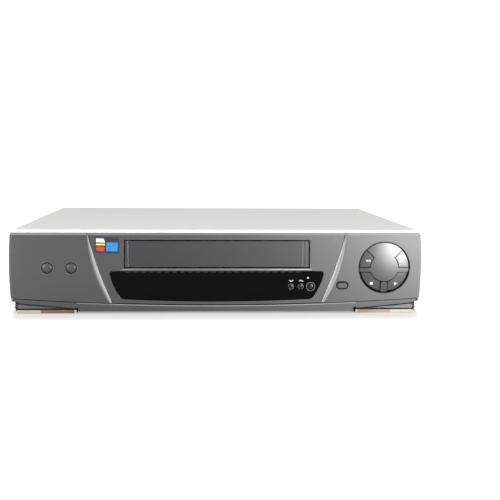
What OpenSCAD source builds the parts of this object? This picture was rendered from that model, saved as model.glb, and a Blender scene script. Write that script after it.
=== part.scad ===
// Front-loading video cassette recorder: casing, front controls, cassette carriage and tape path.
// Millimetres. X runs across the front, Y runs from the front to the back, Z runs up.
// The origin lies on the floor, in the middle of the outer box.

/* [Case] */
// Width across the front panel
body_w = 430; // [426:1:440]
// Height from the floor to the top of the cover
body_h = 88.5; // [88:0.5:96]
// Depth from the foremost point to the back of the cover
case_d = 281; // [281:1:300]
// Thickness of the cover sheet
cover_t = 1; // [0.8:0.1:1.4]
// Bend radius of the cover's top edges
cover_r = 3; // [1.5:0.5:4]
// How far the cover's sides stand inside the panel's sides
cover_in = 2; // [1:0.5:3]
// Height of the chassis floor above the ground
floor_z = 5; // [4:0.5:6]
// Thickness of the chassis sheet
sheet_t = 1.2; // [0.8:0.1:1.6]

/* [Front panel] */
// Depth of the panel's side and top returns
panel_d = 16; // [14:0.5:17]
// Wall thickness of the moulded panel
wall = 2.4; // [2:0.1:3]
// Depth of the panel's outer surfaces behind the foremost point
face_d = 1.2; // [1:0.1:2]
// Depth of the middle section behind the outer surfaces
recess_d = 1.8; // [1:0.1:2.4]
// Bulge of the panel's sides
side_bulge = 1.4; // [0:0.2:2]
// Height of the panel's top edge
panel_top = 84.8; // [84:0.1:85.2]
// Height of the panel's lower corners
corner_z = 13; // [12:0.5:16]
// Half width of the skirt between the feet
skirt_x = 144.5; // [140:0.5:146]
// Height of the skirt's bottom edge
skirt_z = 2.4; // [2:0.1:3]
// Height of the step where the skirt ends
skirt_step = 6.6; // [6:0.1:8]
// Height of the curved line above the skirt, at the middle
smile_z = 9.6; // [9:0.1:11]
// Radius of the curved line above the skirt
smile_r = 3200; // [2600:100:4000]
// Width of the groove along the curved line
groove_w = 1; // [0.6:0.1:1.4]

/* [Crescents] */
// Half width of the recessed middle at its top
crescent_top_x = 135; // [132:0.5:138]
// Half width of the recessed middle where its edges would meet the floor
crescent_low_x = 104; // [102:0.5:106]
// Outward bow of the inner edge
crescent_bow = 2.7; // [1:0.1:3.4]
// Width of the rolled edge at mid height
crescent_w = 5.4; // [3:0.2:7]

/* [Cassette door] */
// Width of the door opening
door_w = 194.4; // [194:0.2:198]
// Height of the lower edge of the door opening
door_low = 48.1; // [47.6:0.1:48.6]
// Height of the door opening
door_h = 29.6; // [29:0.1:30]
// Gap round the door
door_gap = 1.2; // [0.6:0.1:1.4]
// Thickness of the door
door_t = 2.2; // [1.8:0.1:2.4]
// Radius of the door's hinge pins
door_pin_r = 1; // [0.8:0.1:1.1]

/* [Display window] */
// Half width of the window at its top edge
window_x = 112.6; // [111:0.2:114]
// Height of the window's top edge
window_top = 44.7; // [44:0.1:45.2]
// Height of the window's bottom edge at the middle
window_low = 12.8; // [12.6:0.1:14]
// Radius of the window's bottom edge
window_bow_r = 1850; // [1500:50:2400]
// Radius of the window's slanted sides
window_side_r = 66; // [60:1:80]
// Thickness of the window
window_t = 2; // [1.6:0.1:2.2]

/* [Buttons] */
// Travel of every button
press = 1; // [0.6:0.1:1.2]
// Radius of the power and eject buttons
round_r = 5.1; // [4.6:0.1:5.4]
// Width of the gap round the power and eject buttons
round_gap = 1.1; // [0.6:0.1:1.2]
// Distance of the power button from the middle
power_x = 176.1; // [170:0.5:180]
// Distance of the eject button from the middle
eject_x = 151.3; // [150:0.5:155]
// Height of the power and eject buttons
round_z = 48.6; // [46:0.2:52]
// Distance of the timer button from the middle
timer_x = 131.6; // [130:0.2:133]
// Height of the timer button
timer_z = 29.9; // [28:0.2:32]
// Length of the oval timer button
timer_l = 10; // [9:0.2:11]
// Height of the oval timer button
timer_h = 5.2; // [4.6:0.2:6]
// Radius of the channel buttons
channel_r = 2.6; // [2.2:0.1:3]
// Radius of the record button
record_r = 3; // [2.6:0.1:3.4]
// Height of the channel and record buttons
small_z = 28.5; // [27:0.1:30]
// Distance of the first channel button from the middle
channel_x = 77.7; // [74:0.1:80]
// Spacing of the channel and record buttons
small_pitch = 10.3; // [9.4:0.1:11]

/* [Transport cluster] */
// Distance of the cluster from the middle
cluster_x = 175.8; // [174:0.2:178]
// Height of the cluster
cluster_z = 49; // [47:0.2:51]
// Radius of the round opening
cluster_r = 26.9; // [26:0.1:28]
// Radius of the domed centre
dome_r = 14.8; // [14:0.1:16]
// Fall of the crowned cluster from its middle to its rim
dome_h = 2.2; // [1.6:0.1:2.6]
// Gap between the cluster's pieces
cluster_gap = 0.7; // [0.5:0.1:1]
// Height of the side arms
arm_h = 4.4; // [3.6:0.1:5]
// Drop of the side arms' middle line below the centre
arm_drop = 2.6; // [2:0.1:3]
// Width of the lower stem
stem_w = 7; // [6:0.2:8]
// Angle of the upper sector
sector_a = 90; // [80:2:96]

/* [Feet] */
// Width of a front foot
foot_w = 62; // [50:1:64]
// Depth of a front foot
foot_d = 14; // [12:1:20]
// Distance of a front foot's inner end from the middle
foot_x = 147; // [146.5:0.5:148]
// Depth of the front feet behind the foremost point
foot_back = 5; // [4:0.5:6]
// Radius of a rear foot
rear_foot_r = 11; // [8:0.5:14]

/* [Back] */
// Length of the aerial sleeves behind the rear panel
rf_l = 10; // [9:0.5:12]
// Outer radius of an aerial sleeve
rf_r = 4.76; // [4.7:0.01:4.8]
// Distance of the aerial sleeves from the panel's side
rf_in = 45; // [38:1:55]
// Spacing of the aerial sleeves
rf_pitch = 26; // [22:1:30]
// Width of an audio and video socket
scart_w = 47; // [45:0.5:50]
// Height of an audio and video socket
scart_h = 15; // [14:0.5:17]
// Distance of the mains inlet from the panel's side
inlet_in = 33; // [28:1:45]

/* [Cassette carriage] */
// Width of the cassette
tape_w = 188; // [187:0.5:188.5]
// Thickness of the cassette
tape_t = 25; // [24.8:0.1:25.2]
// Clearance round the cassette in its holder
tape_gap = 0.3; // [0.2:0.1:0.4]
// Depth of the holder
holder_d = 74; // [60:1:76]
// Depth of the holder's front edge behind the foremost point
holder_front = 36; // [35:0.5:38]
// Height of the holder's inside floor
holder_z = 48.3; // [48.1:0.1:48.6]
// Thickness of the carriage sheets
holder_t = 1; // [0.8:0.1:1.2]
// Travel of the carriage into the machine
travel_in = 40; // [30:1:42]
// Drop of the holder
travel_down = 22; // [18:0.5:22]
// Radius of the carriage pins
slot_pin_r = 1.9; // [1.5:0.1:2.2]
// Clearance of the carriage pins in their slots
slot_gap = 0.3; // [0.2:0.05:0.4]

/* [Mechanism] */
// Height of the deck's underside
deck_z = 15; // [14:0.5:15.5]
// Thickness of the deck
deck_t = 1.6; // [1.2:0.1:2]
// Half width of the deck
deck_x = 105; // [104:0.5:107]
// Distance between the reels
reel_pitch = 92; // [90:0.5:94]
// Radius of a reel table
reel_r = 22; // [20:0.5:22.5]
// Depth of the reels behind the foremost point
reel_y = 109; // [106:1:112]
// Radius of the fixed posts that the moving pieces turn on
post_r = 1.5; // [1.2:0.1:1.8]
// Running clearance on a post
run = 0.05; // [0.02:0.01:0.08]
// Radius of the head drum
drum_r = 31; // [30:0.5:31]
// Depth of the drum behind the foremost point
drum_y = 203; // [201:0.5:206]
// Tilt of the drum
drum_tilt = 5; // [0:0.5:6]
// Radius on which the loading posts travel
load_r = 46; // [45:0.5:48]
// Angle of the loading posts from the front at rest
load_rest = 22; // [18:1:26]
// Size of one gear tooth, as pitch diameter over tooth count
tooth_m = 1.5; // [1.5:0.1:1.5]
// Teeth that a full loading ring would have
ring_teeth = 32; // [32:2:32]
// Teeth of a loading gear
gear_teeth = 24; // [24:2:24]
// Distance of the capstan from the middle
capstan_x = 66; // [64:0.5:70]
// Depth of the capstan behind the foremost point
capstan_y = 168; // [166:0.5:172]
// Radius of the capstan shaft
capstan_r = 2; // [1.5:0.1:2.5]
// Radius of the flywheel
flywheel_r = 22; // [16:0.5:24]
// Radius of the pinch roller
roller_r = 7; // [6:0.5:7]

/* [Hidden] */
$fn = 48;

eps = 0.01;
screw_r = 1.5;
rear_d = case_d - cover_t;
full_d = rear_d + rf_l;
front_y = -full_d / 2;
half_w = body_w / 2;
cover_x = half_w - cover_in;
rf_x = half_w - rf_in;
inlet_x = half_w - inlet_in;
chassis_x = cover_x - cover_t - 0.3;
floor_top = floor_z + sheet_t;
centre_d = face_d + recess_d;
back_d = centre_d + wall;
side_z = (corner_z + panel_top) / 2;

// Places a child at a distance from the middle, a depth behind the foremost point and a height.
module at(x, d, z)
    translate([x, front_y + d, z])
        children();

// Stands a flat shape, drawn as seen from the front, between two depths.
module upright(d0, d1)
    translate([0, front_y + d1, 0])
        rotate([90, 0, 0])
            linear_extrude(d1 - d0)
                children();

// Round bar that points to the back.
module peg(x, z, d0, d1, r)
    translate([x, front_y + d1, z])
        rotate([90, 0, 0])
            cylinder(r = r, h = d1 - d0);

// Round bar that stands upright.
module post(x, d, z0, z1, r)
    at(x, d, z0)
        cylinder(r = r, h = z1 - z0);

// Round bar that points to the right.
module rod(x0, x1, d, z, r)
    at(x0, d, z)
        rotate([0, 90, 0])
            cylinder(r = r, h = x1 - x0);

// Block between two distances from the middle, two depths and two heights.
module block(x0, x1, d0, d1, z0, z1)
    at(x0, d0, z0)
        cube([x1 - x0, d1 - d0, z1 - z0]);

// The child and its mirror image on the other side of the machine.
module both() {
    children();
    mirror([1, 0, 0])
        children();
}

// Points of an arc about a centre, from one angle to another.
function arc(c, r, a0, a1, n) =
    [for (i = [0 : n]) let (a = a0 + (a1 - a0) * i / n) c + r * [cos(a), sin(a)]];

// Direction from one point to another, in degrees.
function heading(p, q) = atan2(q[1] - p[1], q[0] - p[0]);

// Mirrored copy of a list of points, in reverse order.
function flipped(points) =
    [for (i = [len(points) - 1 : -1 : 0]) [-points[i][0], points[i][1]]];

// The same points without neighbours that coincide.
function distinct(points) =
    [for (i = [0 : len(points) - 1])
        if (norm(points[i] - points[(i + 1) % len(points)]) > eps) points[i]];

// Point where two circles cross, on the right of the line from the first to the second centre.
function crossing(c1, r1, c2, r2) =
    let (
        v = c2 - c1,
        l = norm(v),
        a = (l * l + r1 * r1 - r2 * r2) / (2 * l),
        h = sqrt(r1 * r1 - a * a)
    )
    c1 + v * a / l + [v[1], -v[0]] * h / l;

// Height of the curved line above the skirt.
function smile(x) = smile_z + smile_r - sqrt(smile_r * smile_r - x * x);

// Half width of the panel at a height.
function panel_x(z) =
    half_w - side_bulge * pow((z - side_z) / (panel_top - side_z), 2);

// ---------------------------------------------------------------- front panel

// Right edge of the panel from its lower corner to its top, moved in by some margin.
function panel_side(inset) =
    [for (i = [0 : 8])
        let (z = corner_z + (panel_top - inset - corner_z) * i / 8)
        [panel_x(z) - inset, z]];

// Outline of the panel as seen from the front.
module panel_outline() {
    right = concat([[skirt_x, skirt_z], [skirt_x, skirt_step]], panel_side(0));
    polygon(concat(right, flipped(right)));
}

// Space inside the panel's returns, open at the lower corners.
module panel_inside() {
    in_x = skirt_x - wall;
    side = panel_side(wall);
    right = concat([[in_x, skirt_z + wall], [in_x, 0], [side[0][0], 0]], side);
    polygon(concat(right, flipped(right)));
}

// Height at which the two curved edges of a crescent would meet, just above the panel.
crescent_end = panel_top + 1.2;

// Circle that carries the slanted right edge of the recessed middle: its centre and radius.
function middle_circle(bow, margin) =
    let (
        low = [crescent_low_x + margin, 0],
        top = [crescent_top_x + margin, crescent_end],
        r = (pow(norm(top - low), 2) / 4 + bow * bow) / (2 * bow)
    )
    [crossing(top, r, low, r), r];

// Outline of the recessed middle, with a bow to its slanted edges and a margin round it.
module middle_outline(bow, margin) {
    low = [crescent_low_x + margin, 0];
    top = [crescent_top_x + margin, crescent_end];
    circle_at = middle_circle(bow, margin);
    c = circle_at[0];
    edge = arc(c, circle_at[1], heading(c, low), heading(c, top), 16);
    right = concat([[low[0], -1]], edge, [[top[0], crescent_end + 1]]);
    polygon(concat(right, flipped(right)));
}

// Cone that lets the outer surface fall away towards the middle, widest at half height.
module roll_cut(bow, slope) {
    circle_at = middle_circle(bow, 0);
    intersection() {
        at(circle_at[0][0], centre_d, circle_at[0][1])
            rotate([90, 0, 0])
                cylinder(r1 = circle_at[1] - recess_d / slope,
                    r2 = circle_at[1] + face_d / slope, h = centre_d, $fn = 200);
        block(crescent_low_x / 2, half_w, 0, centre_d, -1, body_h);
    }
}

// Cones of a rolled edge: where each starts, as a share of its width, and its slope.
roll_steps = [[1, 0.14], [0.78, 0.3], [0.52, 0.5], [0.34, 0.8]];

// Hollow above the recessed middle, with the rolled edges that show as two crescents.
module middle_hollow() {
    upright(0, centre_d)
        middle_outline(crescent_bow, 0);
    both()
        for (r = roll_steps)
            roll_cut(crescent_bow + r[0] * crescent_w, r[1]);
}

groove_d = 0.9;

// Everything between the curved line above the skirt, moved up or down, and the floor.
module below_smile(shift) {
    line = [for (i = [0 : 24]) let (x = half_w * (i / 12 - 1)) [x, smile(x) + shift]];
    polygon(concat([[half_w + 1, -1], [-half_w - 1, -1]], line));
}

// Rolled top edge of the panel, cut along its whole width.
module top_roll()
    translate([-half_w - 1, front_y, 0])
        rotate([90, 0, 90])
            linear_extrude(body_w + 2)
                polygon([[-1, panel_top - 4.2], [face_d, panel_top - 2.2],
                    [face_d + 1.1, panel_top - 0.9], [back_d, panel_top],
                    [back_d, body_h], [-1, body_h]]);

// Outline of the display window, grown or shrunk by a margin. It is made of arcs that meet
// smoothly: slanted sides, a bowed bottom edge and rounded corners.
function window_half(grow) =
    let (
        top_r = 2.8,
        low_r = 7,
        low_c = [0, window_low + window_bow_r],
        side_c = [window_x - window_side_r * cos(10), window_top + window_side_r * sin(10)],
        low_corner = crossing(side_c, window_side_r - low_r, low_c, window_bow_r - low_r),
        top_z = window_top - top_r,
        reach = window_side_r - top_r,
        top_corner = [side_c[0] + sqrt(reach * reach - pow(top_z - side_c[1], 2)), top_z]
    )
    concat(
        arc(low_c, window_bow_r + grow, -90, heading(low_c, low_corner), 10),
        arc(low_corner, low_r + grow, heading(low_c, low_corner), heading(side_c, low_corner), 6),
        arc(side_c, window_side_r + grow, heading(side_c, low_corner),
            heading(side_c, top_corner), 8),
        arc(top_corner, top_r + grow, heading(side_c, top_corner), 90, 5)
    );

module window_outline(grow) {
    right = window_half(grow);
    polygon(distinct(concat(right, flipped(right))));
}

// Oval seen from the front.
module oval(l, h) {
    for (s = [-1, 1])
        translate([s * (l - h) / 2, 0])
            circle(d = h);
    square([l - h, h], center = true);
}

door_z1 = door_low + door_h;
hinge_d = back_d;
hinge_z = door_z1 - 1.6;
pin_reach = 3.4;
door_x = door_w / 2 - door_gap;
clip_posts = [[half_w - 14, 24], [120, 62], [half_w - 19, 82]];
board_d = 17;
board_t = 1.6;

// Bearing of one hinge pin, behind the end of the door opening.
module hinge_ear() {
    difference() {
        block(door_w / 2, door_w / 2 + pin_reach + 1, back_d - eps, hinge_d + 2.3,
            hinge_z - 2.6, hinge_z + 2.6);
        rod(door_w / 2 - 1, door_w / 2 + pin_reach + 0.3, hinge_d, hinge_z, door_pin_r + run);
    }
}

module front_panel()
    color([0.40, 0.41, 0.41])
        difference() {
            union() {
                difference() {
                    upright(face_d, face_d + panel_d)
                        panel_outline();
                    upright(back_d, face_d + panel_d + 1)
                        panel_inside();
                    upright(face_d + wall, back_d + eps)
                        difference() {
                            panel_inside();
                            middle_outline(crescent_bow + crescent_w, wall);
                            below_smile(wall);
                        }
                }
                upright(back_d - eps, centre_d + window_t + 1.6)
                    window_outline(1.6);
                both()
                    hinge_ear();
                spring_stub();
                both()
                    for (p = clip_posts)
                        peg(p[0], p[1], face_d + wall - eps, board_d, 2.5);
            }
            middle_hollow();
            upright(0, centre_d)
                below_smile(0);
            top_roll();
            upright(0, centre_d + groove_d)
                difference() {
                    below_smile(0);
                    below_smile(-groove_w);
                }
            block(-door_w / 2, door_w / 2, 0, panel_d, door_low, door_z1);
            both()
                rod(door_w / 2 - 1, door_w / 2 + pin_reach + 0.3, hinge_d, hinge_z,
                    door_pin_r + run);
            upright(0, centre_d + window_t)
                window_outline(0.25);
            upright(0, panel_d)
                window_outline(-2);
            for (x = [power_x, eject_x])
                peg(-x, round_z, 0, panel_d, round_r + round_gap);
            upright(0, panel_d)
                translate([timer_x, timer_z])
                    oval(timer_l + 2, timer_h + 2);
            upright(face_d + wall, back_d + 1)
                translate([timer_x, timer_z])
                    oval(timer_l + 5, timer_h + 5);
            peg(cluster_x, cluster_z, 0, panel_d, cluster_r);
        }

module display_window()
    color([0.07, 0.08, 0.09])
        difference() {
            union() {
                upright(centre_d, centre_d + window_t)
                    window_outline(0);
                peg(channel_x + 2 * small_pitch, small_z, centre_d - 0.5, centre_d + 1,
                    record_r + 1.9);
            }
            for (i = [0 : 1])
                peg(channel_x + i * small_pitch, small_z, 0, back_d + 1, channel_r + 0.4);
            peg(channel_x + 2 * small_pitch, small_z, 0, back_d + 1, record_r + 0.4);
        }

module cassette_door()
    color([0.36, 0.37, 0.38])
        difference() {
            union() {
                block(-door_x, door_x, centre_d, centre_d + door_t, door_low + door_gap,
                    door_z1 - door_gap);
                both()
                    rod(door_x - 6, door_x, hinge_d, hinge_z, door_pin_r + 0.3);
                both()
                    rod(door_x - 1, door_w / 2 + pin_reach, hinge_d, hinge_z, door_pin_r);
            }
            both()
                block(door_x - 4.4, door_x - 3.5, 0, centre_d + 0.6, door_low, door_z1);
        }

spring_d = hinge_d + 4.2;
spring_wire = 0.3;

// Coil spring that keeps the door shut, on a stub behind the left bearing.
module door_spring()
    color([0.7, 0.7, 0.72])
        for (i = [0 : 4])
            at(-door_w / 2 - pin_reach - 1.8 - i * 2.4 * spring_wire, spring_d, hinge_z)
                rotate([0, 90, 0])
                    rotate_extrude()
                        translate([door_pin_r + spring_wire + 0.05, 0])
                            circle(r = spring_wire, $fn = 16);

// Stub of the door spring, with the web that carries it.
module spring_stub() {
    x = -door_w / 2 - pin_reach - 1;
    block(x, x + 3, hinge_d + 2.3 - eps, spring_d + 1.5, hinge_z - 2, hinge_z + 2);
    rod(x - 5, x + eps, spring_d, hinge_z, door_pin_r);
}

// ---------------------------------------------------------------- buttons

switch_t = 3.4;
plunger_t = 0.5;
stem_r = 1.6;
stem_end = board_d - switch_t - plunger_t - press - 0.15;
round_front = face_d - 0.6;
small_front = centre_d - 0.8;
stem_pos = [[-19.3, 8.6], [19.3, 8.6], [-15, -15], [15, -15]];

// Stem of a button, from its cap to just before its switch.
module stem(x, z, d0)
    peg(x, z, d0, stem_end, stem_r);

// Round button with a crowned cap and a flange that keeps it behind the panel.
module round_button(x, z, r, front, wall_back, lip) {
    back = wall_back + 1.5;
    peg(x, z, wall_back + 0.35, back, r + lip);
    at(x, back, z)
        rotate([90, 0, 0])
            rotate_extrude()
                crowned(r, back - front);
    stem(x, z, wall_back + 1);
}

// Half section of a cap with a crowned end.
module crowned(r, l) {
    rise = 0.5;
    ball = (r * r + rise * rise) / (2 * rise);
    edge = asin(r / ball);
    polygon(concat([[0, 0], [r, 0]], arc([0, l - ball], ball, 90 - edge, 90, 6)));
}

module front_button(x)
    color([0.30, 0.31, 0.31])
        round_button(x, round_z, round_r, round_front, face_d + wall, round_gap + 0.8);

module power_button()
    front_button(-power_x);

module eject_button()
    front_button(-eject_x);

module timer_button()
    color([0.30, 0.31, 0.31]) {
        upright(face_d - 0.4, face_d + wall + 1.4)
            translate([timer_x, timer_z])
                oval(timer_l, timer_h);
        upright(face_d + wall + 0.35, face_d + wall + 1.4)
            translate([timer_x, timer_z])
                oval(timer_l + 4, timer_h + 4);
        stem(timer_x, timer_z, face_d + wall + 1);
    }

module small_button(i, r)
    color([0.10, 0.11, 0.12])
        round_button(channel_x + i * small_pitch, small_z, r, small_front,
            centre_d + window_t, 1.2);

module channel_down_button()
    small_button(0, channel_r);

module channel_up_button()
    small_button(1, channel_r);

module record_button()
    small_button(2, record_r);

// ---------------------------------------------------------------- transport cluster

rim_r = cluster_r - cluster_gap;
arm_top = -arm_drop + arm_h / 2;
arm_low = -arm_drop - arm_h / 2;
base_d = 6.5;
key_back = 5.2;
upper_bevel = 0.3;
lower_bevel = 1.2;

// Ball that crowns the cluster: it falls away from the middle by a drop at the rim.
module crown(front, drop) {
    ball = (rim_r * rim_r + drop * drop) / (2 * drop);
    at(cluster_x, front + ball, cluster_z)
        sphere(r = ball, $fn = 144);
}

// Flat shape of the fixed trim: disc, upper sector, side arms and lower stem.
module trim_shape() {
    circle(dome_r);
    intersection() {
        circle(rim_r);
        union() {
            translate([-rim_r, arm_low])
                square([2 * rim_r, arm_h]);
            polygon([[0, 0], 60 * [cos(90 - sector_a / 2), sin(90 - sector_a / 2)],
                60 * [cos(90 + sector_a / 2), sin(90 + sector_a / 2)]]);
            translate([-stem_w / 2, -60])
                square([stem_w, 60 - dome_r - cluster_gap]);
        }
    }
}

module transport_trim()
    color([0.50, 0.51, 0.51])
        difference() {
            union() {
                intersection() {
                    upright(0, base_d + eps)
                        translate([cluster_x, cluster_z])
                            trim_shape();
                    crown(0, dome_h);
                }
                peg(cluster_x, cluster_z, base_d, base_d + 1.6, cluster_r + 2);
                difference() {
                    peg(cluster_x, cluster_z, face_d + wall, base_d + eps, cluster_r + 2);
                    peg(cluster_x, cluster_z, face_d, base_d + 1, cluster_r);
                }
            }
            for (p = stem_pos)
                peg(cluster_x + p[0], cluster_z + p[1], base_d - 1, base_d + 3, stem_r + 0.3);
        }

// Button of the cluster: a crowned ring segment with a bevelled outer edge and a round stem.
module key(shape_index, front, bevel) {
    stem = stem_pos[shape_index];
    color([0.42, 0.43, 0.43]) {
        intersection() {
            upright(0, key_back)
                translate([cluster_x, cluster_z])
                    intersection() {
                        difference() {
                            circle(rim_r);
                            circle(dome_r + cluster_gap);
                        }
                        children();
                    }
            at(cluster_x, 0, cluster_z)
                rotate([90, 0, 0])
                    rotate_extrude()
                        key_section(front, bevel);
        }
        peg(cluster_x + stem[0], cluster_z + stem[1], key_back - eps, stem_end, stem_r);
    }
}

// Half section of the round body that the keys are cut from: a crowned front and a bevel.
module key_section(front, bevel) {
    ball = (rim_r * rim_r + dome_h * dome_h) / (2 * dome_h);
    turn_r = rim_r - bevel;
    edge = asin(turn_r / ball);
    polygon(concat([[0, -key_back], [rim_r, -key_back], [rim_r, -front - dome_h - bevel]],
        arc([0, -front - ball], ball, 90 - edge, 90, 8)));
}

// Quarter above the left arm.
module upper_quarter()
    intersection() {
        rotate(90 + sector_a / 2)
            translate([0, cluster_gap])
                square(60);
        translate([-60, arm_top + cluster_gap])
            square(60);
    }

// Quarter below the left arm.
module lower_quarter()
    translate([-60 - stem_w / 2 - cluster_gap, arm_low - cluster_gap - 60])
        square(60);

module rewind_button()
    key(0, 0.1, upper_bevel)
        upper_quarter();

module forward_button()
    key(1, 0.1, upper_bevel)
        mirror([1, 0])
            upper_quarter();

module stop_button()
    key(2, 0.8, lower_bevel)
        lower_quarter();

module play_button()
    key(3, 0.8, lower_bevel)
        mirror([1, 0])
            lower_quarter();

// ---------------------------------------------------------------- cover, chassis and back

cover_back = case_d;
cover_front = face_d + 0.3;
cover_side_front = face_d + panel_d + 0.5;
vent_w = 2.6;
vent_h = 14;

// Section of the cover as seen from the front: a sheet bent down at both sides.
module cover_section(inset, low) {
    w = cover_x - inset;
    r = cover_r - inset;
    top = body_h - inset;
    difference() {
        union() {
            translate([-w, low])
                square([2 * w, top - r - low]);
            translate([-w + r, low])
                square([2 * (w - r), top - low]);
            for (s = [-1, 1])
                translate([s * (w - r), top - r])
                    circle(r);
        }
        translate([-w - 1, low - 2 * r])
            square([2 * w + 2, 2 * r]);
    }
}

module top_cover()
    color([0.84, 0.84, 0.82])
        difference() {
            union() {
                difference() {
                    upright(cover_side_front, cover_back)
                        cover_section(0, floor_z);
                    upright(0, cover_back - cover_t)
                        cover_section(cover_t, -1);
                    upright(0, cover_back + 1)
                        translate([-cover_x + 8, -1])
                            square([2 * cover_x - 16, body_h - 12]);
                }
                difference() {
                    upright(cover_front + cover_r, cover_side_front + eps)
                        cover_section(0, panel_top + 0.5);
                    upright(0, cover_side_front + 1)
                        cover_section(cover_t, -1);
                }
                front_edge();
            }
            for (s = [-1, 1])
                for (i = [0 : 13])
                    for (j = [0 : 1])
                        block(s * cover_x - 3, s * cover_x + 3, rear_d - 120 + i * 7,
                            rear_d - 120 + i * 7 + vent_w, 28 + j * 20, 28 + j * 20 + vent_h);
            for (x = cover_screw_x)
                peg(x, cover_screw_z, rear_d - 3, cover_back + 1, screw_r + 0.2);
        }

cover_screw_x = [-half_w + 25, 0, half_w - 25];
cover_screw_z = body_h - 6.5;

// Rounded front edge of the cover, over the panel's top edge.
module front_edge()
    intersection() {
        upright(0, cover_side_front)
            cover_section(0, panel_top + 0.5);
        difference() {
            union() {
                rod(-cover_x, cover_x, cover_front + cover_r, body_h - cover_r, cover_r);
                block(-cover_x, cover_x, cover_front, cover_front + cover_t,
                    panel_top, body_h - cover_r);
            }
            rod(-cover_x, cover_x, cover_front + cover_r, body_h - cover_r,
                cover_r - cover_t);
            block(-cover_x, cover_x, cover_front + cover_t, cover_side_front,
                0, body_h - cover_r);
            block(-cover_x, cover_x, cover_front + cover_r + eps, cover_side_front,
                0, body_h - cover_t);
        }
    }

module cover_screws()
    color([0.75, 0.75, 0.76])
        for (x = cover_screw_x) {
            peg(x, cover_screw_z, rear_d - 6, cover_back + eps, screw_r);
            difference() {
                peg(x, cover_screw_z, cover_back, cover_back + 1.8, 3);
                for (a = [0, 90])
                    at(x, cover_back + 1.8, cover_screw_z)
                        rotate([0, a, 0])
                            cube([3.4, 2, 0.8], center = true);
            }
        }

chassis_front = centre_d + window_t + 2.3;
face_x = panel_x(corner_z) - wall - 0.3;
chassis_back = rear_d - sheet_t - 0.3;
deck_posts = [[-98, 42], [98, 42], [-98, 236], [98, 236]];
power_x0 = -half_w + 10;
power_d0 = rear_d - 130;
board_d1 = rear_d - 8;
power_posts = [for (x = [power_x0 + 7, power_x0 + 85]) for (d = [power_d0 + 10, board_d1 - 10]) [x, d]];
main_x1 = half_w - 9;
main_posts = [for (x = [118, main_x1 - 6]) for (d = [34, board_d1 - 10]) [x, d]];
board_z = 13;

module bottom_chassis()
    color([0.55, 0.57, 0.60])
        difference() {
            union() {
                block(-chassis_x, chassis_x, chassis_front, chassis_back, floor_z, floor_top);
                for (s = [-1, 1])
                    block(s > 0 ? chassis_x - sheet_t : -chassis_x,
                        s > 0 ? chassis_x : -chassis_x + sheet_t,
                        cover_side_front, chassis_back, floor_z, floor_z + 14);
                chassis_face();
                for (p = deck_posts)
                    post(p[0], p[1], floor_top - eps, deck_z, 3.5);
                for (p = concat(power_posts, main_posts))
                    post(p[0], p[1], floor_top - eps, board_z, 3);
            }
            for (i = [0 : 7])
                for (j = [0 : 2])
                    block(-162 + i * 7, -162 + i * 7 + vent_w, rear_d - 90 + j * 24,
                        rear_d - 72 + j * 24, 0, floor_top + 1);
        }

// Front wall of the chassis, with its three long beads that show at the corners.
module chassis_face() {
    block(-face_x, face_x, chassis_front, chassis_front + sheet_t, floor_z, corner_z + 7);
    for (i = [0 : 2])
        rod(-face_x, face_x, chassis_front, floor_z + 2 + i * 2.4, 0.5);
}

module front_feet()
    color([0.78, 0.62, 0.42])
        both() {
            difference() {
                block(foot_x, foot_x + foot_w, foot_back, foot_back + foot_d, 0, floor_z);
                block(foot_x + 2, foot_x + foot_w - 2, foot_back + 2, foot_back + foot_d - 2,
                    1.6, floor_z + 1);
            }
            for (i = [1 : 3])
                block(foot_x + i * foot_w / 4 - 0.8, foot_x + i * foot_w / 4 + 0.8,
                    foot_back + 1, foot_back + foot_d - 1, 1, floor_z);
        }

module rear_feet()
    color([0.16, 0.16, 0.16])
        both()
            at(foot_x + foot_w / 2, case_d - 40, 0) {
                cylinder(r1 = rear_foot_r - 1, r2 = rear_foot_r, h = 1);
                translate([0, 0, 1 - eps])
                    cylinder(r = rear_foot_r, h = floor_z - 1 + eps);
            }

// ---------------------------------------------------------------- back and electronics

rear_top = body_h - cover_t - 0.4;
flange_x = chassis_x - cover_r;
scart_x = [-12, 48];
scart_z = 50;
scart_back = rear_d - 17;
inlet_z = 34;
inlet_l = 16;
inlet_h = 9;
collar_r = 6.5;
rf_z = 44;

module rear_panel()
    color([0.72, 0.73, 0.74])
        difference() {
            union() {
                upright(rear_d - sheet_t, rear_d) {
                    translate([-chassis_x, floor_z])
                        square([2 * chassis_x, rear_top - cover_r - floor_z]);
                    translate([-flange_x, floor_z])
                        square([2 * flange_x, rear_top - floor_z]);
                }
                block(-flange_x, flange_x, rear_d - 12, rear_d, rear_top - sheet_t, rear_top);
            }
            for (x = scart_x)
                upright(rear_d - 3, rear_d + 1)
                    translate([x, scart_z])
                        scart_outline(0.2);
            for (s = [-1, 1])
                peg(rf_x, rf_z + s * rf_pitch / 2, rear_d - 3, rear_d + 1, collar_r + 0.3);
            upright(rear_d - 3, rear_d + 1)
                translate([-inlet_x, inlet_z])
                    square([inlet_l + 6.4, inlet_h + 6.4], center = true);
            for (x = cover_screw_x)
                peg(x, cover_screw_z, rear_d - 3, rear_d + 1, screw_r + run);
            for (i = [0 : 8])
                block(-150 + i * 7, -150 + i * 7 + vent_w, rear_d - 3, rear_d + 1, 46, 78);
        }

// Outline of a socket with one slanted corner, grown or shrunk by a margin.
module scart_outline(grow) {
    w = scart_w / 2 + grow;
    h = scart_h / 2 + grow;
    cut = 6;
    polygon([[-w, -h], [w, -h], [w, h - cut], [w - cut, h], [-w, h]]);
}

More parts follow.
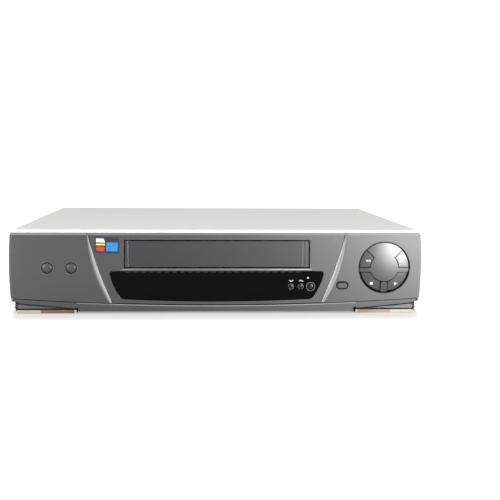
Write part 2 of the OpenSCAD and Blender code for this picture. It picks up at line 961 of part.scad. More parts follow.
module scart_sockets()
    color([0.12, 0.12, 0.13])
        for (x = scart_x)
            difference() {
                union() {
                    upright(scart_back, rear_d + 1.2)
                        translate([x, scart_z])
                            scart_outline(0);
                    upright(rear_d + eps, rear_d + 1.2)
                        translate([x, scart_z])
                            scart_outline(1.4);
                    block(x - scart_w / 2 - 6, x + scart_w / 2 + 6, rear_d - sheet_t - 1.6,
                        rear_d - sheet_t - 0.2, scart_z - 4, scart_z + 4);
                }
                upright(rear_d - 9, rear_d + 2)
                    translate([x, scart_z])
                        difference() {
                            scart_outline(-1.4);
                            scart_outline(-3.2);
                        }
                for (i = [0 : 9])
                    for (j = [0 : 1])
                        block(x - 17.5 + i * 3.6 + j * 1.2, x - 16.5 + i * 3.6 + j * 1.2,
                            rear_d - 7, rear_d + 2, scart_z - 3.4 + j * 4.2,
                            scart_z - 0.8 + j * 4.2);
            }

module rf_unit()
    color([0.78, 0.79, 0.80]) {
        can_back = rear_d - sheet_t - 0.3;
        difference() {
            block(rf_x - 21, rf_x + 21, 218, can_back, board_z + board_t, 72);
            for (i = [0 : 5])
                block(rf_x - 22, rf_x + 22, 226 + i * 8, 228.5 + i * 8, 71.2, 73);
        }
        for (s = [-1, 1])
            let (z = rf_z + s * rf_pitch / 2)
            difference() {
                union() {
                    peg(rf_x, z, can_back - eps, rear_d + 1, collar_r);
                    peg(rf_x, z, rear_d, full_d, rf_r);
                }
                difference() {
                    peg(rf_x, z, rear_d - 2, full_d + 1, rf_r - 0.7);
                    peg(rf_x, z, rear_d - 3, full_d - 1, s > 0 ? 1.2 : 2);
                }
            }
    }

module mains_inlet()
    color([0.10, 0.10, 0.10]) {
        difference() {
            union() {
                upright(rear_d - 20, rear_d + 1)
                    translate([-inlet_x, inlet_z])
                        square([inlet_l + 6, inlet_h + 6], center = true);
                upright(rear_d + eps, rear_d + 1.4)
                    translate([-inlet_x, inlet_z])
                        square([inlet_l + 10, inlet_h + 10], center = true);
            }
            upright(rear_d - 12, rear_d + 2)
                translate([-inlet_x, inlet_z])
                    oval(inlet_l, inlet_h);
        }
        for (s = [-1, 1])
            peg(-inlet_x + s * 4.3, inlet_z, rear_d - 12 - eps, rear_d - 1, 1.18);
    }

module front_board()
    color([0.16, 0.34, 0.20])
        upright(board_d, board_d + board_t)
            polygon([[-207, 12], [207, 12], [207, panel_top - wall - 1],
                [111, panel_top - wall - 1], [111, 46], [-111, 46], [-111, 66], [-207, 66]]);

button_places = concat(
    [[-power_x, round_z], [-eject_x, round_z], [timer_x, timer_z]],
    [for (i = [0 : 2]) [channel_x + i * small_pitch, small_z]],
    [for (p = stem_pos) [cluster_x + p[0], cluster_z + p[1]]]
);

module tact_switches()
    color([0.15, 0.15, 0.16])
        for (p = button_places) {
            block(p[0] - 3, p[0] + 3, board_d - switch_t, board_d, p[1] - 3, p[1] + 3);
            peg(p[0], p[1], board_d - switch_t - plunger_t, board_d - switch_t + eps, 1.7);
        }

module display_tube()
    color([0.20, 0.24, 0.26]) {
        block(-70, 30, board_d - 6.8, board_d - 0.3, 19, 41);
        peg(36 - 6 - eps, 30, board_d - 4.5, board_d - 2.5, 1.4);
        for (i = [0 : 24])
            block(-67 + i * 4, -66.4 + i * 4, board_d - 1, board_d, 16.5, 19 + eps);
    }

module main_board()
    color([0.16, 0.34, 0.20])
        difference() {
            block(112, main_x1, 24, board_d1, board_z, board_z + board_t);
            for (p = main_posts)
                post(p[0], p[1], board_z - 1, board_z + board_t + 1, screw_r + 0.1);
        }

module board_parts() {
    top = board_z + board_t;
    color([0.10, 0.10, 0.11]) {
        for (c = [[130, 60, 28], [165, 60, 22], [150, 110, 30]])
            block(c[0], c[0] + c[2], c[1], c[1] + c[2] * 0.6, top, top + 3);
        for (i = [0 : 4])
            post(125 + i * 15, 150, top, top + 12, 4);
        for (i = [0 : 3])
            post(190, 40 + i * 22, top, top + 9, 3);
    }
    color([0.90, 0.90, 0.86])
        for (i = [0 : 1])
            block(120 + i * 36, 144 + i * 36, 180, 186, top, top + 9);
}

module power_board()
    color([0.62, 0.50, 0.30])
        difference() {
            block(power_x0, power_x0 + 93, power_d0, board_d1, board_z, board_z + board_t);
            for (p = power_posts)
                post(p[0], p[1], board_z - 1, board_z + board_t + 1, screw_r + 0.1);
        }

module power_transformer() {
    top = board_z + board_t;
    color([0.85, 0.72, 0.30]) {
        block(power_x0 + 13, power_x0 + 45, power_d0 + 40, power_d0 + 66, top, top + 26);
    }
    color([0.20, 0.20, 0.21]) {
        block(power_x0 + 9, power_x0 + 49, power_d0 + 46, power_d0 + 60, top + 4, top + 34);
    }
}

module heat_sink()
    color([0.70, 0.71, 0.73]) {
        block(power_x0 + 59, power_x0 + 61.5, power_d0 + 20, power_d0 + 90,
            board_z + board_t, 62);
        for (i = [0 : 7])
            block(power_x0 + 61.5 - eps, power_x0 + 73, power_d0 + 22 + i * 9,
                power_d0 + 23.6 + i * 9, board_z + board_t + 8, 62);
    }

module power_capacitors()
    color([0.16, 0.18, 0.30]) {
        top = board_z + board_t;
        post(power_x0 + 27, power_d0 + 90, top, top + 32, 11);
        post(power_x0 + 15, power_d0 + 18, top, top + 16, 6);
        for (i = [0 : 3])
            post(power_x0 + 83, power_d0 + 26 + i * 18, top, top + 18, 5);
    }

// ---------------------------------------------------------------- deck and cassette carriage

deck_top = deck_z + deck_t;
deck_front = holder_front;
gear_r = tooth_m * gear_teeth / 2;
ring_r = tooth_m * ring_teeth / 2;
gear_x = gear_r;
gear_y = drum_y + sqrt(pow(ring_r + gear_r, 2) - gear_r * gear_r);
deck_back = gear_y + 12;
in_w = tape_w + 2 * tape_gap;
in_h = tape_t + 2 * tape_gap;
holder_x = in_w / 2 + holder_t;
slider_x = holder_x + 1.6;
frame_x = slider_x + holder_t + 1.8;

slider_high = holder_z + in_h + 5.4;
guide_z = holder_z + 16;
guide_y = [holder_front + 14, holder_front + 14 + travel_in + 10];
lift_z = holder_z + in_h - 4;
lift_y = [guide_y[0] + 11, guide_y[1] - 11];
slider_low = lift_z - travel_down - 5;
frame_back = guide_y[1] + travel_in + 12;
bridge_z = slider_high + 1.6;
pinch_pivot = [88, 186];
tension_pivot = [-84, 158];
clutch = [0, reel_y];
idler_r = 16;
hub_wheel_r = 8;
idler_l = hub_wheel_r + idler_r + 0.3;
reel_posts = [[-reel_pitch / 2, reel_y], [reel_pitch / 2, reel_y]];
gear_posts = [[-gear_x, gear_y], [gear_x, gear_y]];
audio_pos = [54, 196];
erase_pos = [-60, 190];

module mechanism_deck()
    color([0.66, 0.67, 0.69]) {
        difference() {
            union() {
                block(-deck_x, deck_x, deck_front, deck_back, deck_z, deck_top);
                post(clutch[0], clutch[1], deck_z - 1, deck_top + 0.4, 4);
            }
            post(clutch[0], clutch[1], deck_z - 2, deck_top + 1, post_r + 0.5 + run);
            post(capstan_x, capstan_y, deck_z - 1, deck_top + 1, 5);
            for (p = deck_posts)
                post(p[0], p[1], deck_z - 1, deck_top + 1, screw_r + 0.1);
            both() {
                block(16, 80, 46, 76, deck_z - 1, deck_top + 1);
                block(78, 92, 200, 232, deck_z - 1, deck_top + 1);
            }
        }
        for (p = reel_posts)
            post(p[0], p[1], deck_top - eps, deck_top + 17, post_r);
        for (p = gear_posts)
            post(p[0], p[1], deck_top - eps, deck_top + 7.6, post_r);
        for (p = [pinch_pivot, tension_pivot])
            post(p[0], p[1], deck_top - eps, deck_top + 6, post_r);
        for (p = concat(reel_posts, gear_posts, [pinch_pivot, tension_pivot]))
            post(p[0], p[1], deck_top - eps, deck_top + 0.3, post_r + 1.5);
    }

// Slot with round ends through an upright plate on the right side, along the depth.
module slot_along(x, d0, d1, z, r) {
    for (d = [d0, d1])
        rod(x - 4, x + 4, d, z, r);
    block(x - 4, x + 4, d0, d1, z - r, z + r);
}

// The same, along the height.
module slot_up(x, d, z0, z1, r) {
    for (z = [z0, z1])
        rod(x - 4, x + 4, d, z, r);
    block(x - 4, x + 4, d - r, d + r, z0, z1);
}

module carriage_frame()
    color([0.72, 0.73, 0.75]) {
        both() {
            difference() {
                union() {
                    block(frame_x, frame_x + sheet_t, holder_front + 2, frame_back,
                        deck_top, bridge_z + sheet_t);
                    block(frame_x - 1.2, frame_x + sheet_t, holder_front + 2, holder_front + 12,
                        deck_top, deck_top + sheet_t);
                }
                for (y = guide_y)
                    slot_along(frame_x, y, y + travel_in, guide_z, slot_pin_r + slot_gap);
                block(frame_x - 3, frame_x + 3, holder_front + 22, frame_back - 10,
                    deck_top + 8, guide_z - 14);
            }
        }
        block(-frame_x - eps, frame_x + eps, frame_back - 12, frame_back - 2,
            bridge_z, bridge_z + sheet_t);
    }

module carriage_slider()
    color([0.20, 0.20, 0.21]) {
        both() {
            difference() {
                block(slider_x, slider_x + holder_t, guide_y[0] - 6, guide_y[1] + 6,
                    slider_low, slider_high);
                for (y = lift_y)
                    slot_up(slider_x, y, lift_z - travel_down, lift_z, slot_pin_r + slot_gap);
            }
            for (y = guide_y)
                rod(slider_x + holder_t - eps, frame_x + sheet_t + 0.6, y, guide_z, slot_pin_r);
        }
        block(-slider_x - eps, slider_x + eps, guide_y[0] + 8, guide_y[0] + 22,
            slider_high - sheet_t, slider_high);
    }

module cassette_holder()
    color([0.60, 0.61, 0.63]) {
        difference() {
            block(-holder_x, holder_x, holder_front, holder_front + holder_d,
                holder_z - holder_t, holder_z + in_h + holder_t);
            block(-in_w / 2, in_w / 2, holder_front - 1, holder_front + holder_d + 1,
                holder_z, holder_z + in_h);
            block(-in_w / 2 + 12, in_w / 2 - 12, holder_front - 1,
                holder_front + holder_d + 1, holder_z - 2, holder_z + 1);
            both()
                block(14, 62, holder_front + 14, holder_front + holder_d - 14,
                    holder_z + in_h - 1, holder_z + in_h + 2);
        }
        both()
            for (y = lift_y)
                rod(holder_x - eps, slider_x + holder_t + 0.4, y, lift_z, slot_pin_r);
    }

// ---------------------------------------------------------------- drum, reels and capstan

drum_z = deck_top + 7.6;
drum_h = 13;
drum_base = 2.1;

// The drum's tilted axis, with its foot on the ground of the child's frame.
module on_drum()
    at(0, drum_y, drum_z)
        rotate([drum_tilt, 0, 0])
            children();

module lower_drum()
    color([0.80, 0.81, 0.82]) {
        difference() {
            union() {
                post(0, drum_y, deck_top, drum_z, 18);
                on_drum()
                    translate([0, 0, drum_base])
                        cylinder(r = drum_r, h = drum_h - drum_base);
                intersection() {
                    post(0, drum_y, drum_z - 0.2, drum_z + 6, 18);
                    on_drum()
                        translate([0, 0, -6])
                            cylinder(r = 26, h = drum_base + 6.4);
                }
            }
            on_drum()
                translate([0, 0, 2])
                    cylinder(r = 3 + run, h = drum_h);
        }
    }

module upper_drum()
    color([0.88, 0.89, 0.90])
        on_drum() {
            difference() {
                union() {
                    translate([0, 0, drum_h + 0.3])
                        cylinder(r = drum_r, h = drum_h - 2);
                    translate([0, 0, drum_h * 2 - 1.7 - eps])
                        cylinder(r1 = drum_r, r2 = drum_r - 1, h = 1);
                }
                translate([0, 0, 2 * drum_h - 3])
                    rotate_extrude()
                        translate([12, 0])
                            square([13, 6]);
                for (a = [0, 180])
                    rotate(a)
                        translate([drum_r - 1, -1.5, drum_h])
                            cube([3, 3, 2.3]);
            }
            translate([0, 0, 4])
                cylinder(r = 3, h = drum_h);
            translate([0, 0, 2 * drum_h - 3])
                cylinder(r = 6, h = 4.4);
        }

shaft_low = floor_top + 1;

module capstan_flywheel()
    color([0.76, 0.77, 0.78]) {
        post(capstan_x, capstan_y, shaft_low, deck_top + 31, capstan_r);
        post(capstan_x, capstan_y, shaft_low, shaft_low + 2.6, 6);
        post(capstan_x, capstan_y, shaft_low + 2.6 - eps, shaft_low + 5.2, flywheel_r);
    }

module capstan_bearing()
    color([0.80, 0.66, 0.38])
        difference() {
            union() {
                post(capstan_x, capstan_y, shaft_low + 5.5, deck_top + 12, 4.5);
                post(capstan_x, capstan_y, deck_top, deck_top + 1.4, 8);
            }
            post(capstan_x, capstan_y, 0, deck_top + 20, capstan_r + run);
        }

module capstan_stator()
    color([0.15, 0.32, 0.20]) {
        difference() {
            post(capstan_x, capstan_y, deck_z - 1, deck_z - 0.05, 21);
            post(capstan_x, capstan_y, 0, deck_z + 1, 7);
        }
        for (i = [0 : 5])
            at(capstan_x, capstan_y, 0)
                rotate(i * 60)
                    translate([13.5, 0, deck_z - 2])
                        cylinder(r = 4.5, h = 1 + eps);
    }

pulley_r = 12;
belt_z = shaft_low + 0.5;

module clutch_pulley()
    color([0.90, 0.89, 0.84]) {
        post(clutch[0], clutch[1], shaft_low, shaft_low + 2.6, pulley_r);
        post(clutch[0], clutch[1], shaft_low + 1, deck_top + 6, post_r + 0.5);
        post(clutch[0], clutch[1], deck_top + 0.7, deck_top + 3.6, hub_wheel_r);
    }

module reel_belt() {
    color([0.08, 0.08, 0.08])
        at(0, 0, belt_z)
            linear_extrude(1.6)
                difference() {
                    belt_loop(1.5);
                    belt_loop(0.4);
                }
}

// Flat loop round both pulleys.
module belt_loop(grow)
    hull() {
        translate([capstan_x, capstan_y])
            circle(r = 6 + grow, $fn = 48);
        translate([clutch[0], clutch[1]])
            circle(r = pulley_r + grow, $fn = 48);
    }

module idler_arm()
    color([0.70, 0.71, 0.73])
        difference() {
            union() {
                for (p = [[0, 4.5], [idler_l, 3.5]])
                    post(clutch[0], clutch[1] + p[0], deck_top + 4.2, deck_top + 5.4, p[1]);
                block(clutch[0] - 2.5, clutch[0] + 2.5, clutch[1], clutch[1] + idler_l,
                    deck_top + 4.2, deck_top + 5.4);
                post(clutch[0], clutch[1] + idler_l, deck_top + 0.6, deck_top + 5, post_r);
            }
            post(clutch[0], clutch[1], deck_top, deck_top + 9, post_r + 0.5 + run);
        }

module idler_wheel()
    color([0.10, 0.10, 0.10])
        difference() {
            post(clutch[0], clutch[1] + idler_l, deck_top + 0.7, deck_top + 3.6, idler_r);
            post(clutch[0], clutch[1] + idler_l, deck_top, deck_top + 9, post_r + run);
            at(clutch[0], clutch[1] + idler_l, deck_top + 2.6)
                rotate_extrude()
                    translate([5, 0])
                        square([8, 2]);
        }

// Reel table: rim, collar and a winged spindle that holds the cassette's reel.
module reel(p)
    color([0.16, 0.16, 0.17])
        difference() {
            union() {
                post(p[0], p[1], deck_top + 0.4, deck_top + 3.6, reel_r);
                post(p[0], p[1], deck_top + 3.6 - eps, deck_top + 6.4, 12);
                post(p[0], p[1], deck_top + 6.4 - eps, deck_top + 18.5, 4.6);
                at(p[0], p[1], deck_top + 18.5 - eps)
                    cylinder(r1 = 4.6, r2 = 2.2, h = 2.4);
                for (i = [0 : 2])
                    at(p[0], p[1], deck_top + 6.4 - eps)
                        rotate(i * 120)
                            translate([3, -0.8, 0])
                                cube([3.6, 1.6, 9]);
            }
            post(p[0], p[1], 0, deck_top + 17.4, post_r + run);
            at(p[0], p[1], deck_top + 2.8)
                rotate_extrude()
                    translate([14, 0])
                        square([5.5, 2]);
        }

module supply_reel()
    reel(reel_posts[0]);

module takeup_reel()
    reel(reel_posts[1]);

// ---------------------------------------------------------------- arms beside the drum

pinch_l = 19.4;
pinch_gap = 0.4;
pinch_z = deck_top + 2.2;
pinch_reach = norm([capstan_x, capstan_y] - pinch_pivot);
pinch_near = roller_r + capstan_r + pinch_gap;
pinch_angle = acos((pinch_l * pinch_l + pinch_reach * pinch_reach - pinch_near * pinch_near)
    / (2 * pinch_l * pinch_reach));
pinch_sweep = 28;
pinch_head = heading(pinch_pivot, [capstan_x, capstan_y]) - pinch_angle - pinch_sweep;
roller_pos = pinch_pivot + pinch_l * [cos(pinch_head), sin(pinch_head)];

// Flat arm between two points at a height, with round ends.
module link(p, q, z, t, r) {
    for (c = [p, q])
        post(c[0], c[1], z, z + t, r);
    at(p[0], p[1], z)
        rotate(heading(p, q))
            translate([0, -r * 0.8, 0])
                cube([norm(q - p), r * 1.6, t]);
}

module pinch_arm()
    color([0.66, 0.67, 0.69])
        difference() {
            union() {
                link(pinch_pivot, roller_pos, pinch_z, 2, 4);
                post(roller_pos[0], roller_pos[1], pinch_z, deck_top + 30, post_r);
            }
            post(pinch_pivot[0], pinch_pivot[1], 0, deck_top + 40, post_r + run);
        }

module pinch_roller()
    color([0.12, 0.12, 0.12])
        difference() {
            post(roller_pos[0], roller_pos[1], deck_top + 13, deck_top + 28, roller_r);
            post(roller_pos[0], roller_pos[1], 0, deck_top + 40, post_r + run);
        }

tension_pole = tension_pivot + [22, 2];

module tension_arm()
    color([0.66, 0.67, 0.69])
        difference() {
            union() {
                link(tension_pivot, tension_pole, deck_top + 0.8, 1.8, 3.5);
                post(tension_pole[0], tension_pole[1], deck_top + 0.8, deck_top + 27, 1.5);
                post(tension_pole[0], tension_pole[1], deck_top + 26, deck_top + 27.4, 3);
            }
            post(tension_pivot[0], tension_pivot[1], 0, deck_top + 40, post_r + run);
        }

module erase_head() {
    p = erase_pos;
    color([0.75, 0.76, 0.78]) {
        post(p[0], p[1], deck_top, deck_top + 12, 2.5);
        block(p[0] - 4, p[0] + 4, p[1] - 4, p[1] + 4, deck_top + 12 - eps, deck_top + 28);
    }
}

module audio_head() {
    p = audio_pos;
    color([0.75, 0.76, 0.78]) {
        block(p[0] - 3, p[0] + 6, p[1] + 1, p[1] + 11, deck_top, deck_top + 1.6);
        post(p[0] + 2, p[1] + 5, deck_top + 1.6 - eps, deck_top + 12, 2.5);
        block(p[0] - 2.5, p[0] + 6, p[1] - 1, p[1] + 9, deck_top + 12 - eps, deck_top + 28);
    }
}

// ---------------------------------------------------------------- loading mechanism

tip = 0.9 * tooth_m;
root = 1.2 * tooth_m;
backlash = 0.12;
level = deck_top + 0.4;
mesh_t = 2;
ring_t = 1.8;
left_z = level + mesh_t + 0.4;
right_z = left_z + ring_t + 0.4;
left_head = atan2(gear_y - drum_y, -gear_x);
right_head = 180 - left_head;

// Flat gear: teeth of the given module from one tooth number to another on a round body.
module gear_shape(r, teeth, first, last) {
    pitch = 360 / teeth;
    circle(r = r - root);
    for (i = [first : last])
        rotate(i * pitch)
            polygon(concat(tooth_side(r, 1), tooth_side(r, -1)));
}

// Flank of one tooth from its root to its tip, or back again on its other side.
function tooth_side(r, s) =
    let (rows = [-root - 0.3, 0, tip * 0.6, tip])
    [for (k = [0 : 3])
        let (
            h = rows[s > 0 ? k : 3 - k],
            half = (PI * tooth_m / 4 - backlash) - h * tan(20) - max(0, h) * max(0, h) * 0.06
        )
        [r + h, -s * half]];

// Teeth of a ring stand against the gaps of the gear that it drives.
function ring_phase(head) =
    let (
        tooth = 360 / gear_teeth,
        turned = head + 180 - tooth * round((head + 180) / tooth)
    )
    head + turned * gear_r / ring_r + 180 / ring_teeth;

module loading_gear_left()
    color([0.92, 0.91, 0.86])
        difference() {
            at(-gear_x, gear_y, level)
                linear_extrude(mesh_t + 0.4 + ring_t)
                    gear_shape(gear_r, gear_teeth, 0, gear_teeth - 1);
            post(-gear_x, gear_y, 0, deck_top + 20, post_r + run);
        }

module loading_gear_right()
    color([0.92, 0.91, 0.86])
        difference() {
            union() {
                at(gear_x, gear_y, level)
                    linear_extrude(mesh_t)
                        rotate(180 / gear_teeth)
                            gear_shape(gear_r, gear_teeth, 0, gear_teeth - 1);
                post(gear_x, gear_y, level + mesh_t - eps, right_z + eps, 8);
                at(gear_x, gear_y, right_z)
                    linear_extrude(ring_t)
                        gear_shape(gear_r, gear_teeth, 0, gear_teeth - 1);
            }
            post(gear_x, gear_y, 0, deck_top + 20, post_r + run);
        }

// Loading ring on the drum's foot: a toothed sector, an arm and its post with a roller.
module loading_ring(z, head) {
    s = head > 90 ? 1 : -1;
    arm = -90 - s * load_rest;
    pole = load_r * [cos(arm), sin(arm)];
    color([0.30, 0.31, 0.33])
        at(0, drum_y, z) {
            difference() {
                union() {
                    linear_extrude(ring_t) {
                        rotate(ring_phase(head))
                            gear_shape(ring_r, ring_teeth, s > 0 ? -1 : -9, s > 0 ? 9 : 1);
                        rotate(arm)
                            translate([20, -3.5])
                                square([load_r - 20, 7]);
                        translate(pole)
                            circle(4);
                    }
                    translate(pole)
                        cylinder(r = 1.8, h = deck_top + 27 - z);
                    translate([pole[0], pole[1], deck_top + 10 - z])
                        cylinder(r = 3, h = 15);
                }
                translate([0, 0, -1])
                    cylinder(r = 18 + run, h = ring_t + 2);
            }
        }
}

module loading_ring_left()
    loading_ring(left_z, left_head);

module loading_ring_right()
    loading_ring(right_z, right_head);

worm_r = 4.2;
worm_y = gear_y + gear_r + tip + 0.35 + worm_r;
worm_z = deck_top + 1.4;
motor_r = 9.6;
motor_x = -gear_x - 24;

module loading_worm()
    color([0.93, 0.90, 0.78]) {
        rod(motor_x + 0.3, -gear_x + 12, worm_y, worm_z, 1.2);
        rod(-gear_x - 10, -gear_x + 10, worm_y, worm_z, 2.6);
        for (i = [-3 : 3])
            at(-gear_x + i * 2.7, worm_y, worm_z)
                rotate([0, 90, 0])
                    cylinder(r1 = worm_r, r2 = 2.6, h = 1.1);
    }

module loading_motor()
    color([0.78, 0.79, 0.80]) {
        rod(motor_x - 30, motor_x, worm_y, worm_z, motor_r);
        block(motor_x - 26, motor_x - 4, worm_y - 7, worm_y + 7, floor_top,
            worm_z - motor_r + 1.5);
        difference() {
            block(-gear_x + 10.6, -gear_x + 13.4, worm_y - 3, worm_y + 3, floor_top,
                worm_z + 3);
            rod(-gear_x + 9, -gear_x + 15, worm_y, worm_z, 1.2 + run);
        }
    }

top_cover();
cover_screws();
front_panel();
display_window();
cassette_door();
door_spring();
transport_trim();
power_button();
eject_button();
rewind_button();
forward_button();
stop_button();
play_button();
timer_button();
channel_down_button();
channel_up_button();
record_button();
bottom_chassis();
front_feet();
rear_feet();
rear_panel();
scart_sockets();
rf_unit();
mains_inlet();
front_board();
tact_switches();
display_tube();
main_board();
board_parts();
power_board();
power_transformer();
heat_sink();
power_capacitors();
mechanism_deck();
carriage_frame();
carriage_slider();
cassette_holder();
lower_drum();
upper_drum();
capstan_flywheel();
capstan_bearing();
capstan_stator();
clutch_pulley();
reel_belt();
idler_arm();
idler_wheel();
supply_reel();
takeup_reel();
pinch_arm();
pinch_roller();
tension_arm();
loading_ring_left();
loading_ring_right();
loading_gear_left();
loading_gear_right();
loading_worm();
loading_motor();
erase_head();
audio_head();
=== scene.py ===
"""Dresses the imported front-loading cassette recorder for its picture."""

import logging
import math
from collections.abc import Callable
from dataclasses import dataclass, field
from enum import Enum

import bmesh
import bpy
from mathutils import Euler, Matrix, Vector


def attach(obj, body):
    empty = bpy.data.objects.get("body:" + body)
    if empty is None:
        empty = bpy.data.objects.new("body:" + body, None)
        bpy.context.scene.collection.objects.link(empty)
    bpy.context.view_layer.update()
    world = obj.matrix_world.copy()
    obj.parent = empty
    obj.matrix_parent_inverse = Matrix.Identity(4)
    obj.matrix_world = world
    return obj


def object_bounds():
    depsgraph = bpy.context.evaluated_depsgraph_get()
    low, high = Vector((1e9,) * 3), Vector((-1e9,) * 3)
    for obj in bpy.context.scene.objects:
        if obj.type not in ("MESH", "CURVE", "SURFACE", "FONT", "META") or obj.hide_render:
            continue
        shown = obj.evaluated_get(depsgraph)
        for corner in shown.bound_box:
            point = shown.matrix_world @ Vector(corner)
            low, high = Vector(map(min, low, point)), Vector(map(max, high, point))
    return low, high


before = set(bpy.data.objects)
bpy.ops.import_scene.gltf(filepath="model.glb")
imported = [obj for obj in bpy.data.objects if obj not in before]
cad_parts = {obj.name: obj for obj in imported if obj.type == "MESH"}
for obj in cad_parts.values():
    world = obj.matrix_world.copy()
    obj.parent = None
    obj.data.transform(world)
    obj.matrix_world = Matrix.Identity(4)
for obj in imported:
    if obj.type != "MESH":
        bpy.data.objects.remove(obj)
CAD_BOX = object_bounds()

LOG = logging.getLogger("recorder")
MM = 0.001
FRONT_Y = -CAD_BOX[1].y
# Width of the picture in pixels, the unit of the focal length.
PICTURE = 500
# Depths in millimetres of the front's outer surfaces and of its middle section.
FACE = 1.2
MIDDLE = 3.0
# Where the painted shade in the front's gaps fades out, in millimetres from its middle and above
# the floor.
GAPS_X = (207.0, 208.0)
GAPS_Z = (82.0, 82.5)
# Painted shade: the colour far in a gap, and the one along the edges of a key.
GAP_SHADE = (0.002, 0.002, 0.002)
EDGE_SHADE_BLACK = (0.003, 0.003, 0.003)

Socket = bpy.types.NodeSocket
Pair = tuple[float, float]
Point = Pair
Triple = tuple[float, float, float]
Colour = Triple


def shade(red: int, green: int, blue: int) -> Colour:
    """Turns a colour as a display shows it into the linear one that a shader takes.

    Args:
        red: Red from 0 to 255.
        green: Green from 0 to 255.
        blue: Blue from 0 to 255.

    Returns:
        The linear colour.
    """
    parts = [c / 255 for c in (red, green, blue)]
    linear = [c / 12.92 if c <= 0.04045 else ((c + 0.055) / 1.055) ** 2.4 for c in parts]
    return linear[0], linear[1], linear[2]


def spot(x: float, depth: float, z: float) -> Vector:
    """Finds a place on the recorder.

    Args:
        x: Millimetres to the right of the middle.
        depth: Millimetres behind the foremost point.
        z: Millimetres above the floor.

    Returns:
        The same place in metres, in the row frame.
    """
    return Vector((x * MM, FRONT_Y + depth * MM, z * MM))


# ---------------------------------------------------------------- finishes


class Pattern(Enum):
    """What the fine relief of a finish looks like."""

    GRAIN = "grain"
    FLAKE = "flake"
    BRUSHED = "brushed"
    SPANGLE = "spangle"
    WOUND = "wound"
    TRACKS = "tracks"


class Painter:
    """Adds and joins the nodes of one material, or of the world."""

    def __init__(self, owner: bpy.types.Material | bpy.types.World) -> None:
        """Starts with the shader that Blender gives the material or the world.

        Args:
            owner: What the nodes belong to.
        """
        owner.use_nodes = True
        self.tree = owner.node_tree
        self.shader = self.tree.nodes.get("Principled BSDF") or self.tree.nodes["Background"]
        self.ways = self.add("TexCoord").outputs
        self.place = self.ways["Object"]

    def add(self, kind: str, **values: object) -> bpy.types.Node:
        """Adds a node and fills its inputs.

        Args:
            kind: Type of the shader node, without its prefix.
            **values: Inputs by name, with spaces written as underscores. A socket is
                joined, anything else is set as a constant.

        Returns:
            The new node.
        """
        node = self.tree.nodes.new("ShaderNode" + kind)
        self.fill(node, **values)
        return node

    def fill(self, node: bpy.types.Node, **values: object) -> None:
        """Fills inputs of a node that exists already.

        Args:
            node: The node.
            **values: Inputs by name, as for add.
        """
        for key, value in values.items():
            self.put(node.inputs[key.replace("_", " ")], value)

    def put(self, socket: Socket, value: object) -> None:
        """Joins an input to another node, or sets it as a constant.

        Args:
            socket: The input.
            value: The other node's output, or the constant.
        """
        if isinstance(value, Socket):
            self.tree.links.new(value, socket)
        else:
            socket.default_value = value

    def worked(self, kind: str, operation: str, *values: object) -> Socket:
        """Works out a number or a vector.

        Args:
            kind: Math or VectorMath.
            operation: What is worked out.
            *values: Inputs in order.

        Returns:
            The result.
        """
        node = self.add(kind)
        node.operation = operation
        for socket, value in zip(node.inputs, values):
            self.put(socket, value)
        number = kind == "Math" or operation in ("DOT_PRODUCT", "LENGTH")
        return node.outputs["Value" if number else "Vector"]

    def moved(self, scale: Triple) -> Socket:
        """Scales the coordinates of a pattern.

        Args:
            scale: How often the pattern repeats in a metre along each axis.

        Returns:
            The coordinates to use.
        """
        return self.add("Mapping", Vector=self.place, Scale=scale).outputs["Vector"]

    def noise(self, scale: Triple, detail: float = 3.0) -> Socket:
        """Adds a noise.

        Args:
            scale: How often it repeats in a metre along each axis.
            detail: Number of finer layers in it.

        Returns:
            Its value, from 0 to 1.
        """
        node = self.add("TexNoise", Vector=self.moved(scale), Scale=1.0, Detail=detail)
        return node.outputs["Fac"]

    def span(
        self, value: Socket, low: float, high: float, start: float = 0.3, end: float = 0.7
    ) -> Socket:
        """Stretches a value to a range, clamped at both ends.

        Args:
            value: The value.
            low: Result at the start.
            high: Result at the end.
            start: Where the stretch starts.
            end: Where it ends.

        Returns:
            The stretched value.
        """
        node = self.add(
            "MapRange", Value=value, From_Min=start, From_Max=end, To_Min=low, To_Max=high
        )
        return node.outputs["Result"]

    def shade_mask(self, depth: float) -> Socket:
        """Finds what lies in a gap or well of the front, where shade is painted black.

        Args:
            depth: Millimetres behind the foremost point where the painted shade in the gaps
                starts.

        Returns:
            Factor of 1 in the gaps, where shade is painted, and 0 elsewhere.
        """
        place = self.add("SeparateXYZ", Vector=self.place).outputs
        start = FRONT_Y + depth * MM
        shade_mask = self.span(place["Y"], 0.0, 1.0, start, start + 0.2 * MM)
        aside = self.worked("Math", "ABSOLUTE", place["X"])
        for value, (near, far) in ((aside, GAPS_X), (place["Z"], GAPS_Z)):
            guard = self.span(value, 1.0, 0.0, near * MM, far * MM)
            shade_mask = self.worked("Math", "MULTIPLY", shade_mask, guard)
        return shade_mask

    def blend(self, factor: Socket, first: object, second: object) -> Socket:
        """Mixes two colours.

        Args:
            factor: How much of the second colour shows.
            first: Colour or socket.
            second: Colour or socket.

        Returns:
            The mixed colour.
        """
        node = self.add("Mix", Factor=factor)
        node.data_type = "RGBA"
        for socket, value in zip(node.inputs[6:8], (first, second), strict=True):
            self.put(socket, value if isinstance(value, Socket) else (*value, 1.0))
        return node.outputs[2]


